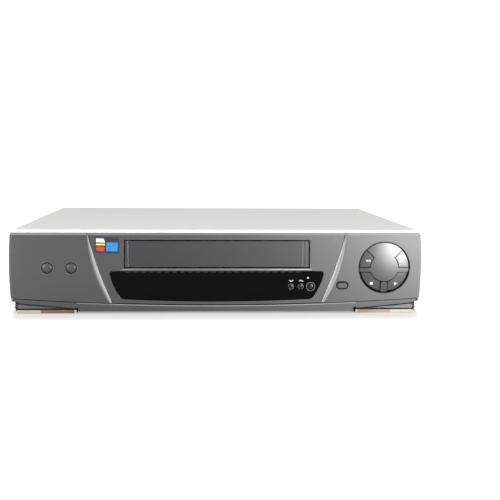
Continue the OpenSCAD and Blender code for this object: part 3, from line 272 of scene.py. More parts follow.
@dataclass(frozen=True)
class Finish:
    """One finish of the recorder; some paint shade or highlights into their colour."""

    name: str
    colour: Colour
    drift: Colour
    metal: float = 0.0
    rough: Pair = (0.4, 0.5)
    pattern: Pattern = Pattern.GRAIN
    grain: float = 0.6
    relief: float = 0.02
    rim: float = 0.25
    lacquer: float = 0.0
    shine: float = 0.5
    cloud: float = 40.0
    # Colour painted along edges within rim of them; each finish that sets it uses it as painted
    # shade.
    edge: Colour | None = None
    # Depth in millimetres beyond which the front's gaps are painted black, a painted shade.
    shade_depth: float = 0.0

    def relief_of(self, painter: Painter) -> Socket:
        """Builds the fine pattern.

        Args:
            painter: The material being made.

        Returns:
            Height of the pattern from 0 to 1.
        """
        often = 1 / (self.grain * MM)
        even = (often, often, often)
        if self.pattern is Pattern.BRUSHED:
            return painter.noise((often * 0.02, often, often))
        if self.pattern is Pattern.SPANGLE:
            cells = painter.add("TexVoronoi", Vector=painter.moved(even), Scale=1.0)
            return painter.add("SeparateColor", Color=cells.outputs["Color"]).outputs["Red"]
        if self.pattern is Pattern.WOUND:
            turns = painter.add("TexWave", Vector=painter.moved(even), Scale=0.5, Distortion=0.4)
            turns.bands_direction = "Z"
            return turns.outputs["Fac"]
        if self.pattern is Pattern.TRACKS:
            tracks = painter.add(
                "TexBrick", Vector=painter.moved(even), Scale=1.0, Mortar_Size=0.12
            )
            tracks.offset = 0.37
            return tracks.outputs["Fac"]
        if self.pattern is Pattern.FLAKE:
            return painter.noise(even, 1.0)
        return painter.noise(even)

    def make(self) -> bpy.types.Material:
        """Builds the material.

        Returns:
            The material, ready to assign.
        """
        made = bpy.data.materials.new(self.name)
        painter = Painter(made)
        height = self.relief_of(painter)
        patches = painter.noise((1000 / self.cloud,) * 3, 4.0)
        factor = painter.span(patches, 0.0, 1.0)
        if self.pattern in (Pattern.FLAKE, Pattern.SPANGLE, Pattern.TRACKS):
            factor = height
        colour = painter.blend(factor, self.colour, self.drift)
        # Painted shade: the gaps and wells of the front turn black beyond the given depth.
        if self.shade_depth:
            colour = painter.blend(painter.shade_mask(self.shade_depth), colour, GAP_SHADE)
        rounded = painter.add("Bevel", Radius=self.rim * MM)
        rounded.samples = 4
        # Painted shade along edges: the edge colour is mixed in where the true normal turns from
        # the rounded one.
        if self.edge is not None:
            flat = painter.add("NewGeometry").outputs["True Normal"]
            along = painter.worked("VectorMath", "DOT_PRODUCT", flat, rounded.outputs["Normal"])
            edge_shading = painter.span(along, 1.0, 0.0, 0.75, 0.98)
            colour = painter.blend(edge_shading, colour, self.edge)
        bump = painter.add(
            "Bump",
            Strength=0.6,
            Distance=self.relief * MM,
            Height=height,
            Normal=rounded.outputs["Normal"],
        )
        painter.fill(
            painter.shader,
            Base_Color=colour,
            Metallic=self.metal,
            Roughness=painter.span(patches, *self.rough),
            Coat_Weight=self.lacquer,
            Specular_IOR_Level=self.shine,
            Normal=bump.outputs["Normal"],
        )
        return made


@dataclass(frozen=True)
class Flaked(Finish):
    """A moulded or painted finish with metal flakes in it."""

    metal: float = 0.8
    rough: Pair = (0.4, 0.44)
    pattern: Pattern = Pattern.FLAKE
    grain: float = 0.35
    relief: float = 0.006
    rim: float = 0.35


@dataclass(frozen=True)
class Printed(Finish):
    """Ink or paper on the front, and the grey rings painted as highlights."""

    rough: Pair = (0.2, 0.3)
    grain: float = 0.6
    relief: float = 0.003
    rim: float = 0.05


FINISHES = {
    finish.name: finish
    for finish in (
        # The cover's darker edge colour is painted shade along its edges.
        Finish("cover_paint", shade(200, 201, 195), shade(198, 199, 193), rough=(0.55, 0.58),
               grain=0.4, relief=0.015, rim=0.5, shine=0.25, edge=shade(160, 161, 156)),
        # The panel, the cluster and the keys get painted shade: black far in their gaps and wells.
        Flaked("panel_metallic", (0.115, 0.118, 0.118), (0.086, 0.088, 0.089), metal=0.85,
               rough=(0.38, 0.4), shade_depth=3.6),
        # A brighter copy of the panel's finish, a painted highlight on the sill, the door's ribs
        # and the rims round the round buttons.
        Flaked("highlight_metallic", (0.2, 0.203, 0.2), (0.17, 0.173, 0.17)),
        Flaked("crescent_metallic", (0.13, 0.132, 0.13), (0.11, 0.112, 0.11), relief=0.005,
               rim=0.15),
        # A brighter copy of the crescent finish, a painted highlight on the right crescent.
        Flaked("crescent_highlight", (0.36, 0.365, 0.36), (0.32, 0.325, 0.32), relief=0.005,
               rim=0.15),
        # Painted highlight: a bright finish for the strips along the skirt's curve, the front's
        # top edge and ends, and the play key's bevel.
        Flaked("edge_highlight", (0.36, 0.365, 0.36), (0.3, 0.305, 0.3), rough=(0.34, 0.38),
               relief=0.005, rim=0.15),
        Flaked("door_metallic", (0.07, 0.075, 0.076), (0.055, 0.059, 0.06), metal=0.85,
               rough=(0.4, 0.42), rim=0.4),
        # Painted shade: black along the edges of the cluster and the keys.
        Flaked("cluster_metallic", (0.108, 0.11, 0.11), (0.085, 0.087, 0.087), metal=0.85,
               rough=(0.34, 0.38), grain=0.3, relief=0.005, rim=0.6, edge=EDGE_SHADE_BLACK, shade_depth=3.3),
        Flaked("key_metallic", (0.11, 0.113, 0.114), (0.088, 0.09, 0.091), metal=0.85,
               rough=(0.32, 0.36), grain=0.3, relief=0.005, rim=0.5, edge=EDGE_SHADE_BLACK, shade_depth=4.6),
        Flaked("button_metallic", (0.09, 0.092, 0.094), (0.07, 0.072, 0.074), grain=0.3,
               relief=0.005, rim=0.4),
        Finish("window_gloss", (0.0012, 0.0016, 0.002), (0.0018, 0.0023, 0.0027),
               rough=(0.05, 0.09), grain=3.0, relief=0.001, rim=0.3, shine=0.06),
        Finish("small_button", (0.006, 0.0065, 0.0075), (0.009, 0.0095, 0.011), rough=(0.25, 0.35),
               grain=0.3, relief=0.008, rim=0.3, shine=0.3),
        Finish("galvanised", (0.47, 0.49, 0.51), (0.42, 0.44, 0.46), metal=1.0, rough=(0.4, 0.46),
               pattern=Pattern.SPANGLE, grain=3.0, relief=0.004),
        Finish("chassis_grey", (0.17, 0.18, 0.19), (0.14, 0.15, 0.16), metal=0.7,
               rough=(0.38, 0.46), grain=0.5, relief=0.008, rim=0.3),
        Finish("spring_black", (0.012, 0.012, 0.013), (0.02, 0.02, 0.021), metal=0.6,
               rough=(0.4, 0.5), grain=0.3, relief=0.006, rim=0.1),
        # Painted shade: black for pieces put in gaps, round buttons, above the feet, along the
        # wings and on the stop key's bevel.
        Finish("painted_gap_shade", (0.003, 0.003, 0.003), (0.005, 0.005, 0.005), rough=(0.6, 0.7),
               grain=0.4, relief=0.006, rim=0.05, shine=0.2),
        Finish("steel", (0.56, 0.57, 0.58), (0.42, 0.43, 0.44), metal=1.0, rough=(0.25, 0.35),
               pattern=Pattern.BRUSHED, grain=0.4, relief=0.006),
        Finish("aluminium", (0.72, 0.73, 0.74), (0.6, 0.61, 0.62), metal=1.0, rough=(0.2, 0.3),
               pattern=Pattern.BRUSHED, grain=0.25, relief=0.004),
        Finish("gold_trim", shade(176, 164, 140), shade(122, 94, 66), metal=0.8,
               rough=(0.28, 0.38), pattern=Pattern.BRUSHED, grain=0.5, relief=0.006, rim=0.4,
               cloud=55),
        # Painted highlight on the front feet's bars.
        Finish("cream_highlight", shade(176, 170, 152), shade(160, 152, 134), metal=0.3,
               rough=(0.3, 0.4), grain=0.4, relief=0.004, rim=0.2),
        Finish("black_plastic", (0.02, 0.02, 0.021), (0.03, 0.03, 0.031), rough=(0.4, 0.55),
               grain=0.4, relief=0.03),
        Finish("black_rubber", (0.014, 0.014, 0.015), (0.024, 0.024, 0.024), rough=(0.65, 0.8),
               grain=0.8, relief=0.04),
        Finish("white_plastic", (0.66, 0.65, 0.58), (0.6, 0.58, 0.5), rough=(0.35, 0.45),
               grain=0.5, relief=0.015),
        Finish("board_green", (0.02, 0.12, 0.045), (0.035, 0.2, 0.08), rough=(0.25, 0.35),
               pattern=Pattern.TRACKS, grain=3.0, relief=0.02, lacquer=0.3),
        Finish("board_brown", (0.36, 0.24, 0.1), (0.3, 0.19, 0.07), rough=(0.4, 0.5),
               pattern=Pattern.TRACKS, grain=5.0, relief=0.02),
        Finish("tube_glass", (0.03, 0.05, 0.055), (0.04, 0.07, 0.075), rough=(0.04, 0.08),
               grain=2.0, relief=0.001, lacquer=0.5),
        Finish("winding", (0.55, 0.28, 0.06), (0.62, 0.34, 0.1), metal=0.6, rough=(0.3, 0.4),
               pattern=Pattern.WOUND, grain=0.8, relief=0.15),
        Finish("can_blue", (0.02, 0.03, 0.12), (0.03, 0.04, 0.15), rough=(0.2, 0.3),
               grain=2.0, relief=0.004, lacquer=0.4),
        Finish("bronze", (0.5, 0.33, 0.12), (0.4, 0.25, 0.09), metal=1.0, rough=(0.3, 0.45),
               grain=0.3, relief=0.01),
        Finish("nickel", (0.68, 0.67, 0.64), (0.56, 0.55, 0.52), metal=1.0, rough=(0.2, 0.3),
               grain=0.6, relief=0.004),
        Printed("print_white", (0.6, 0.6, 0.56), (0.5, 0.5, 0.46), rough=(0.5, 0.6), grain=0.3,
                relief=0.004),
        # Grey rings round the small buttons, a painted highlight on their pockets' edges.
        Printed("pocket_highlight_grey", (0.16, 0.165, 0.17), (0.12, 0.125, 0.13), rough=(0.3, 0.4),
                grain=0.3, relief=0.004),
        Printed("print_grey", (0.04, 0.044, 0.048), (0.03, 0.034, 0.038), rough=(0.3, 0.4),
                grain=0.3, relief=0.004),
        Printed("label_dark", (0.016, 0.02, 0.028), (0.022, 0.026, 0.034), relief=0.004),
        Printed("label_blue", shade(30, 104, 160), shade(42, 116, 172)),
        Printed("label_red", shade(180, 60, 44), shade(165, 50, 38)),
        Printed("label_yellow", shade(222, 190, 84), shade(210, 176, 70)),
        Printed("label_white", shade(226, 228, 228), shade(214, 217, 219)),
    )
}

_made: dict[str, bpy.types.Material] = {}


def material(name: str) -> bpy.types.Material:
    """Finds a finish's material, and builds it the first time.

    Args:
        name: Name of the finish.

    Returns:
        The material.
    """
    if name not in _made:
        _made[name] = FINISHES[name].make()
    return _made[name]


# ---------------------------------------------------------------- pieces


def oval(x: float, z: float, length: float, height: float, points: int = 64) -> list[Point]:
    """Outlines a slot with round ends, or a circle where both sizes are the same.

    Args:
        x: Its middle, in millimetres to the right of the recorder's middle.
        z: Its middle, in millimetres above the floor.
        length: Whole length in millimetres.
        height: Whole height in millimetres.
        points: Number of points in the outline.

    Returns:
        Its points in order.
    """
    radius = height / 2
    outline = []
    for i in range(points):
        angle = math.tau * (i + 0.5) / points
        end = math.copysign(length / 2 - radius, math.cos(angle))
        outline.append((x + end + radius * math.cos(angle), z + radius * math.sin(angle)))
    return outline


def turned(points: list[Point], centre: Point, degrees: float) -> list[Point]:
    """Turns an outline in the plane of the front.

    Args:
        points: The outline.
        centre: What it turns about.
        degrees: Turn to the left in degrees.

    Returns:
        The turned outline.
    """
    cos, sin = math.cos(math.radians(degrees)), math.sin(math.radians(degrees))
    moved = [(x - centre[0], z - centre[1]) for x, z in points]
    return [(centre[0] + x * cos - z * sin, centre[1] + x * sin + z * cos) for x, z in moved]


@dataclass
class Workpiece:
    """A piece being made in one mesh, in the row frame."""

    name: str
    finish: str
    body: str
    slot: str
    shape: bmesh.types.BMesh = field(default_factory=bmesh.new)

    def slab(self, corner: Vector, other: Vector, bevel: float = 0.0, turn: float = 0.0) -> None:
        """Adds a block between two corners.

        Args:
            corner: One corner.
            other: The opposite corner.
            bevel: Width in millimetres that its edges lose.
            turn: Turn about its middle in the plane of the front, in degrees.
        """
        made = bmesh.ops.create_cube(self.shape, size=1.0)["verts"]
        size = [abs(c) for c in other - corner]
        bmesh.ops.scale(self.shape, vec=size, verts=made)
        if bevel:
            edges = list({e for v in made for e in v.link_edges})
            result = bmesh.ops.bevel(
                self.shape, geom=edges, offset=bevel * MM, affect="EDGES", segments=2,
                profile=0.5, material=-1,
            )
            made = list({*result["verts"], *(v for v in made if v.is_valid)})
        turned_by = Matrix.Rotation(math.radians(turn), 3, "Y")
        bmesh.ops.rotate(self.shape, cent=(0, 0, 0), matrix=turned_by, verts=made)
        bmesh.ops.translate(self.shape, vec=(corner + other) / 2, verts=made)

    def plate(self, points: list[Point], front: float, back: float) -> None:
        """Adds a flat plate that faces the front.

        Args:
            points: Outline, as distances from the middle and heights in millimetres.
            front: Depth of its face in millimetres.
            back: Depth of its back in millimetres.
        """
        verts = [self.shape.verts.new(spot(x, back, z)) for x, z in points]
        face = self.shape.faces.new(verts)
        grown = bmesh.ops.extrude_face_region(self.shape, geom=[face])["geom"]
        moved = [v for v in grown if isinstance(v, bmesh.types.BMVert)]
        bmesh.ops.translate(self.shape, vec=(0, (front - back) * MM, 0), verts=moved)

    def skin(self, points: list[Point], crown: Callable[[float, float], float]) -> None:
        """Adds a thin plate that follows a crowned face.

        Args:
            points: Outline, as distances from the middle and heights in millimetres.
            crown: Gives the face's depth in millimetres at a place of the outline.
        """
        verts = [self.shape.verts.new(spot(x, crown(x, z) + 0.15, z)) for x, z in points]
        face = self.shape.faces.new(verts)
        grown = bmesh.ops.extrude_face_region(self.shape, geom=[face])["geom"]
        moved = [v for v in grown if isinstance(v, bmesh.types.BMVert)]
        bmesh.ops.translate(self.shape, vec=(0, -0.2 * MM, 0), verts=moved)

    def band(self, outer: list[Point], inner: list[Point], front: float, back: float) -> None:
        """Adds a flat frame between two outlines with equally many points.

        Args:
            outer: Outer outline, as distances from the middle and heights in millimetres.
            inner: Inner outline.
            front: Depth of its face in millimetres.
            back: Depth of its back in millimetres.
        """
        loops = [
            [self.shape.verts.new(spot(x, depth, z)) for x, z in outline]
            for outline, depth in ((outer, front), (inner, front), (inner, back), (outer, back))
        ]
        for loop, following in zip(loops, loops[1:] + loops[:1], strict=True):
            for i, vert in enumerate(loop):
                j = (i + 1) % len(loop)
                self.shape.faces.new((vert, loop[j], following[j], following[i]))

    def swept(self, sections: list[list[Vector]]) -> None:
        """Joins a row of sections with equally many points, and closes both ends.

        Args:
            sections: The sections in order, each as its points in the row frame.
        """
        loops = [[self.shape.verts.new(point) for point in section] for section in sections]
        for loop, following in zip(loops, loops[1:]):
            for i, vert in enumerate(loop):
                j = (i + 1) % len(loop)
                self.shape.faces.new((vert, loop[j], following[j], following[i]))
        self.shape.faces.new(loops[0])
        self.shape.faces.new(loops[-1][::-1])

    def ring(self, centre: Vector, section: list[Point], steps: int = 64) -> None:
        """Spins a closed section about an axis that points to the back.

        Args:
            centre: A point of the axis, at depth 0 of the section.
            section: Points as radius and depth in millimetres.
            steps: Number of steps in the turn.
        """
        verts = [
            self.shape.verts.new(centre + Vector((r * MM, d * MM, 0.0))) for r, d in section
        ]
        edges = [
            self.shape.edges.new((a, b)) for a, b in zip(verts, verts[1:] + verts[:1], strict=True)
        ]
        bmesh.ops.spin(
            self.shape, geom=verts + edges, cent=centre, axis=(0, 1, 0), angle=math.tau,
            steps=steps, use_merge=True,
        )

    def finished(self, smooth: bool = False) -> bpy.types.Object:
        """Turns the mesh into an object that rides on its body.

        Args:
            smooth: Whether its faces are shaded smoothly.

        Returns:
            The object.
        """
        bmesh.ops.remove_doubles(self.shape, verts=self.shape.verts, dist=1e-7)
        bmesh.ops.recalc_face_normals(self.shape, faces=self.shape.faces)
        mesh = bpy.data.meshes.new(self.name)
        self.shape.to_mesh(mesh)
        self.shape.free()
        if smooth:
            mesh.shade_smooth()
        obj = bpy.data.objects.new(self.name, mesh)
        bpy.context.scene.collection.objects.link(obj)
        mesh.materials.append(material(self.finish))
        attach(obj, self.body)
        LOG.info("%s: %d faces on %s", self.name, len(mesh.polygons), self.body)
        return obj


@dataclass
class Assembly:
    """A sub-assembly: the CAD nodes it keeps, with their finishes, and its own pieces."""

    wears: dict[str, str]

    def dress(self) -> None:
        """Gives every CAD node of the sub-assembly its finish."""
        for node, finish in self.wears.items():
            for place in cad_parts[node].material_slots:
                place.material = material(finish)
            LOG.info("%s wears %s", node, finish)

    def build(self) -> None:
        """Makes the pieces that the sub-assembly adds. Most add none."""


# ---------------------------------------------------------------- sub-assemblies


def smile(x: float) -> float:
    """Finds the height in millimetres of the curved line above the skirt."""
    return 9.6 + x * x / 6400


def end_x(z: float) -> float:
    """Finds how far the front's bulging ends lie from its middle, at a height."""
    return 215 - 1.4 * ((z - 48.9) / 35.9) ** 2


@dataclass
class Casing(Assembly):
    """Cover, chassis, back plate, feet and screws."""

    wears: dict[str, str] = field(
        default_factory=lambda: {
            "top_cover": "cover_paint",
            "cover_screws": "nickel",
            "bottom_chassis": "chassis_grey",
            "rear_panel": "galvanised",
            "front_feet": "gold_trim",
            "rear_feet": "black_rubber",
        }
    )
    foot_x: Pair = (147.0, 209.0)
    foot_front: float = 5.0
    foot_top: float = 5.0
    bar_h: float = 3.5
    # Stretch of each foot's bar with a painted highlight.
    outer_bar: Pair = (184.0, 209.0)
    wing_end: float = 206.0
    wing_z: Pair = (5.6, 11.2)
    post_x: Pair = (208.4, 210.4)

    def build(self) -> None:
        """Makes a painted shadow band above each front foot's bright bar, and painted highlights
        on the bar's inner end and outer stretch.
        """
        # Painted shadow above each foot's bar, and painted highlights on the bar.
        bands = Workpiece("foot_shadow_bands", "painted_gap_shade", "recorder", "black_plastic")
        ends = Workpiece("foot_highlights", "cream_highlight", "recorder", "gold_trim")
        for side in (-1, 1):
            bands.slab(
                spot(side * self.foot_x[0], self.foot_front - 0.2, self.bar_h),
                spot(side * self.foot_x[1], self.foot_front + 0.1, self.foot_top),
                bevel=0.05,
            )
            for start, end in ((self.foot_x[0], self.foot_x[0] + 2.2), self.outer_bar):
                ends.slab(
                    spot(side * start, self.foot_front - 0.15, 0.2),
                    spot(side * end, self.foot_front + 0.1, self.bar_h),
                    bevel=0.05,
                )
        bands.finished()
        ends.finished()
        self.build_wings()

    def build_wings(self) -> None:
        """Makes the tapered ends of the skirt above the feet, with painted shade lines round them.
        """
        wings = Workpiece("skirt_wings", "panel_metallic", "recorder", "panel_plastic")
        lines = Workpiece("wing_shade_lines", "painted_gap_shade", "recorder", "black_plastic")
        start, (low, high) = self.foot_x[0], self.wing_z
        for side in (-1, 1):
            upper = [start + (self.wing_end - start) * i / 12 for i in range(13)]
            outline = [(side * start, low), (side * self.wing_end, high)]
            outline += [(side * x, smile(x) - 1.05) for x in reversed(upper)]
            wings.plate(outline, MIDDLE + 0.02, MIDDLE + 1.6)
            # Painted shade: a black plate behind each wing shows round its outline, and a black
            # strip stands at the post.
            lines.plate(
                [
                    (side * start, low - 1.1), (side * (self.wing_end + 2), high - 1.1),
                    (side * (self.wing_end + 2), high + 0.3), (side * start, low + 0.3),
                ],
                MIDDLE + 0.2, MIDDLE + 1.8,
            )
            lines.slab(
                spot(side * self.post_x[0], self.foot_front + 2, 1.6),
                spot(side * self.post_x[1], self.foot_front + 4, high),
                bevel=0.1,
            )
        wings.finished()
        lines.finished()


@dataclass
class Front(Assembly):
    """Moulded front with its door, window and printed marks."""

    wears: dict[str, str] = field(
        default_factory=lambda: {
            "front_panel": "panel_metallic",
            "display_window": "window_gloss",
            "cassette_door": "door_metallic",
            "door_spring": "spring_black",
        }
    )
    print_t: float = 0.04
    dash_pitch: float = 8.1
    dash_from: float = -93.0
    dash_count: int = 23
    dash_l: float = 4.6
    dash_h: float = 0.45
    dash_z: float = 44.0
    sill_z: float = 46.5
    sill_x: float = 99.5
    sill_h: float = 1.5
    pointers: tuple[tuple[float, int], ...] = ((77.7, -1), (88.1, 1))
    pointer_z: Pair = (34.3, 35.0)
    dot_at: Point = (95.5, 37.8)
    dot_r: float = 0.9
    rib_x: tuple[float, ...] = (-92.9, 89.6, 92.9)
    rib_z: Pair = (49.4, 77.0)
    rib_w: float = 0.6
    crescent_x: Pair = (104.0, 135.0)
    crescent_z: float = 86.0
    crescent_bow: float = 2.7
    crescent_w: float = 5.4
    crescent_lean: Point = (0.941, -0.339)
    crescent_run: Pair = (0.155, 0.825)
    crescent_roll: tuple[Point, ...] = ((1.0, 0.14), (0.78, 0.3), (0.52, 0.5), (0.34, 0.8))
    crescent_shares: tuple[float, ...] = (0.02, 0.15, 0.3, 0.42, 0.54, 0.66, 0.78, 0.88)
    top_z: Pair = (82.9, 84.95)
    roll_x: float = 212.4
    middle_x: float = 134.6
    panel_z: Pair = (13.6, 84.2)
    line_x: float = 146.5
    label_at: Point = (-114.6, 72.2)
    label_turn: float = -1.6

    def build(self) -> None:
        """Makes what the front adds: sill, marks, label, ribs, painted highlight lines and
        crescents.
        """
        self.build_sill()
        self.build_dashes()
        self.build_pointers()
        self.build_label()
        self.build_ribs()
        self.build_smile_line()
        self.build_edge_lines()
        self.build_crescents()

    def build_sill(self) -> None:
        """Makes the rounded strip between the door and the window, brighter than the panel as a
        painted highlight.
        """
        sill = Workpiece("door_sill", "highlight_metallic", "recorder", "panel_plastic")
        sill.slab(
            spot(-self.sill_x, MIDDLE - 0.55, self.sill_z - self.sill_h / 2),
            spot(self.sill_x, MIDDLE + 0.4, self.sill_z + self.sill_h / 2),
            bevel=0.4,
        )
        sill.finished(smooth=True)

    def build_dashes(self) -> None:
        """Prints the row of short dashes along the window's upper edge."""
        dashes = Workpiece("window_dashes", "print_grey", "recorder", "window_gloss")
        for i in range(self.dash_count):
            x = self.dash_from + i * self.dash_pitch
            dashes.slab(
                spot(x - self.dash_l / 2, MIDDLE - self.print_t, self.dash_z - self.dash_h / 2),
                spot(x + self.dash_l / 2, MIDDLE + self.print_t, self.dash_z + self.dash_h / 2),
            )
        dashes.finished()

    def build_pointers(self) -> None:
        """Prints the two pointers and the dot above the small buttons."""
        marks = Workpiece("window_marks", "print_white", "recorder", "window_gloss")
        low, high = self.pointer_z
        for x, up in self.pointers:
            for side in (-1, 1):
                marks.slab(
                    spot(x + side * 1.0 - 1.25, MIDDLE - self.print_t, low),
                    spot(x + side * 1.0 + 1.25, MIDDLE + self.print_t, high),
                    turn=side * up * 30,
                )
        angles = [math.tau * i / 24 for i in range(24)]
        x, z = self.dot_at
        dot = [(x + self.dot_r * math.cos(a), z + self.dot_r * math.sin(a)) for a in angles]
        marks.plate(dot, MIDDLE - self.print_t, MIDDLE + self.print_t)
        marks.finished()

    def build_ribs(self) -> None:
        """Makes the fine upright ribs near the door's ends, brighter than the door as a painted
        highlight.
        """
        ribs = Workpiece("door_ribs", "highlight_metallic", "door", "door_plastic")
        low, high = self.rib_z
        for x in self.rib_x:
            ribs.slab(
                spot(x - self.rib_w / 2, MIDDLE - 0.25, low),
                spot(x + self.rib_w / 2, MIDDLE + 0.3, high),
                bevel=0.12,
            )
        ribs.finished()

    def build_smile_line(self) -> None:
        """Makes the chamfer along the skirt's curved upper edge, bright as a painted highlight."""
        # Painted highlight along the skirt's curve.
        line = Workpiece("smile_highlight", "edge_highlight", "recorder", "panel_plastic")
        sections = []
        for i in range(49):
            x = self.line_x * (i / 24 - 1)
            top = smile(x) - 1.0
            sections.append(
                [spot(x, MIDDLE - 0.5, top - 1.1), spot(x, MIDDLE + 0.1, top + 0.1),
                 spot(x, MIDDLE + 0.1, top - 1.1)]
            )
        line.swept(sections)
        line.finished()

    def build_crescents(self) -> None:
        """Makes the rolled skins of the two crescents. The right one's finish is brighter, a
        painted highlight.
        """
        (low, high), (lean_x, lean_z) = self.crescent_x, self.crescent_lean
        first, run = self.crescent_run
        # The right crescent's brighter finish is a painted highlight.
        finishes = {"left": (-1, "crescent_metallic"), "right": (1, "crescent_highlight")}
        for name, (side, finish) in finishes.items():
            skin = Workpiece(f"{name}_crescent", finish, "recorder", "panel_plastic")
            sections = []
            for i in range(41):
                t = first + run * i / 40
                width = self.crescent_w * 4 * t * (1 - t)
                inner = self.crescent_bow * 4 * t * (1 - t)
                points = []
                for share in self.crescent_shares:
                    out = inner + share * width
                    x = low + (high - low) * t + lean_x * out
                    z = self.crescent_z * t + lean_z * out
                    fall = max((start - share) * slope for start, slope in self.crescent_roll)
                    points.append(spot(side * x, FACE + width * max(fall, 0.0) - 0.07, z))
                back = [point + Vector((0, 0.4 * MM, 0)) for point in (points[-1], points[0])]
                sections.append(points + back)
            skin.swept(sections)
            skin.finished()

    def build_edge_lines(self) -> None:
        """Makes the rolled strips along the front's top edge and its two ends, bright as a painted
        highlight.
        """
        # Painted highlight along the top edge.
        top = Workpiece("top_highlight", "edge_highlight", "recorder", "panel_plastic")
        low, high = self.top_z
        sections = []
        for x in (-self.roll_x, -self.middle_x - 1, -self.middle_x, self.middle_x,
                  self.middle_x + 1, self.roll_x):
            depth = MIDDLE - 0.15 if abs(x) <= self.middle_x else FACE - 0.15
            sections.append(
                [spot(x, depth - 0.5, low), spot(x, depth + 0.4, high), spot(x, depth + 0.4, low)]
            )
        top.swept(sections)
        top.finished()
        # Painted highlight down both ends.
        ends = Workpiece("end_highlights", "edge_highlight", "recorder", "panel_plastic")
        low, high = self.panel_z
        for side in (-1, 1):
            sections = []
            for i in range(13):
                z = low + (high - low) * i / 12
                x = end_x(z)
                sections.append(
                    [
                        spot(side * (x - 2.1), FACE - 0.1, z),
                        spot(side * (x - 0.9), FACE + 0.5, z),
                        spot(side * (x - 2.1), FACE + 0.5, z),
                    ]
                )
            ends.swept(sections)
        ends.finished()

    def build_label(self) -> None:
        """Makes the plain label with its coloured blocks."""
        x, z = self.label_at
        blocks = {
            "label_dark": [(-12.6, -8.5), (12.6, -8.5), (12.6, 8.5), (-12.6, 8.5)],
            "label_blue": [(-0.6, -6.2), (11.2, -6.2), (11.2, 3.0), (-0.6, 3.0)],
            "label_yellow": [(-11.2, -0.2), (-2.0, -0.2), (-2.0, 1.4), (-11.2, 1.4)],
            "label_white": [(-11.2, 2.8), (-2.0, 2.8), (-3.6, 6.6), (-11.2, 6.6)],
            "label_red": oval(-6.6, -4.0, 9.0, 4.6, 48),
        }
        for finish, shape in blocks.items():
            front = MIDDLE - (0.1 if finish == "label_dark" else 0.16)
            block = Workpiece(finish, finish, "recorder", "white_plastic")
            placed = [(x + px, z + pz) for px, pz in shape]
            block.plate(turned(placed, self.label_at, self.label_turn), front, front + 0.14)
            block.finished()


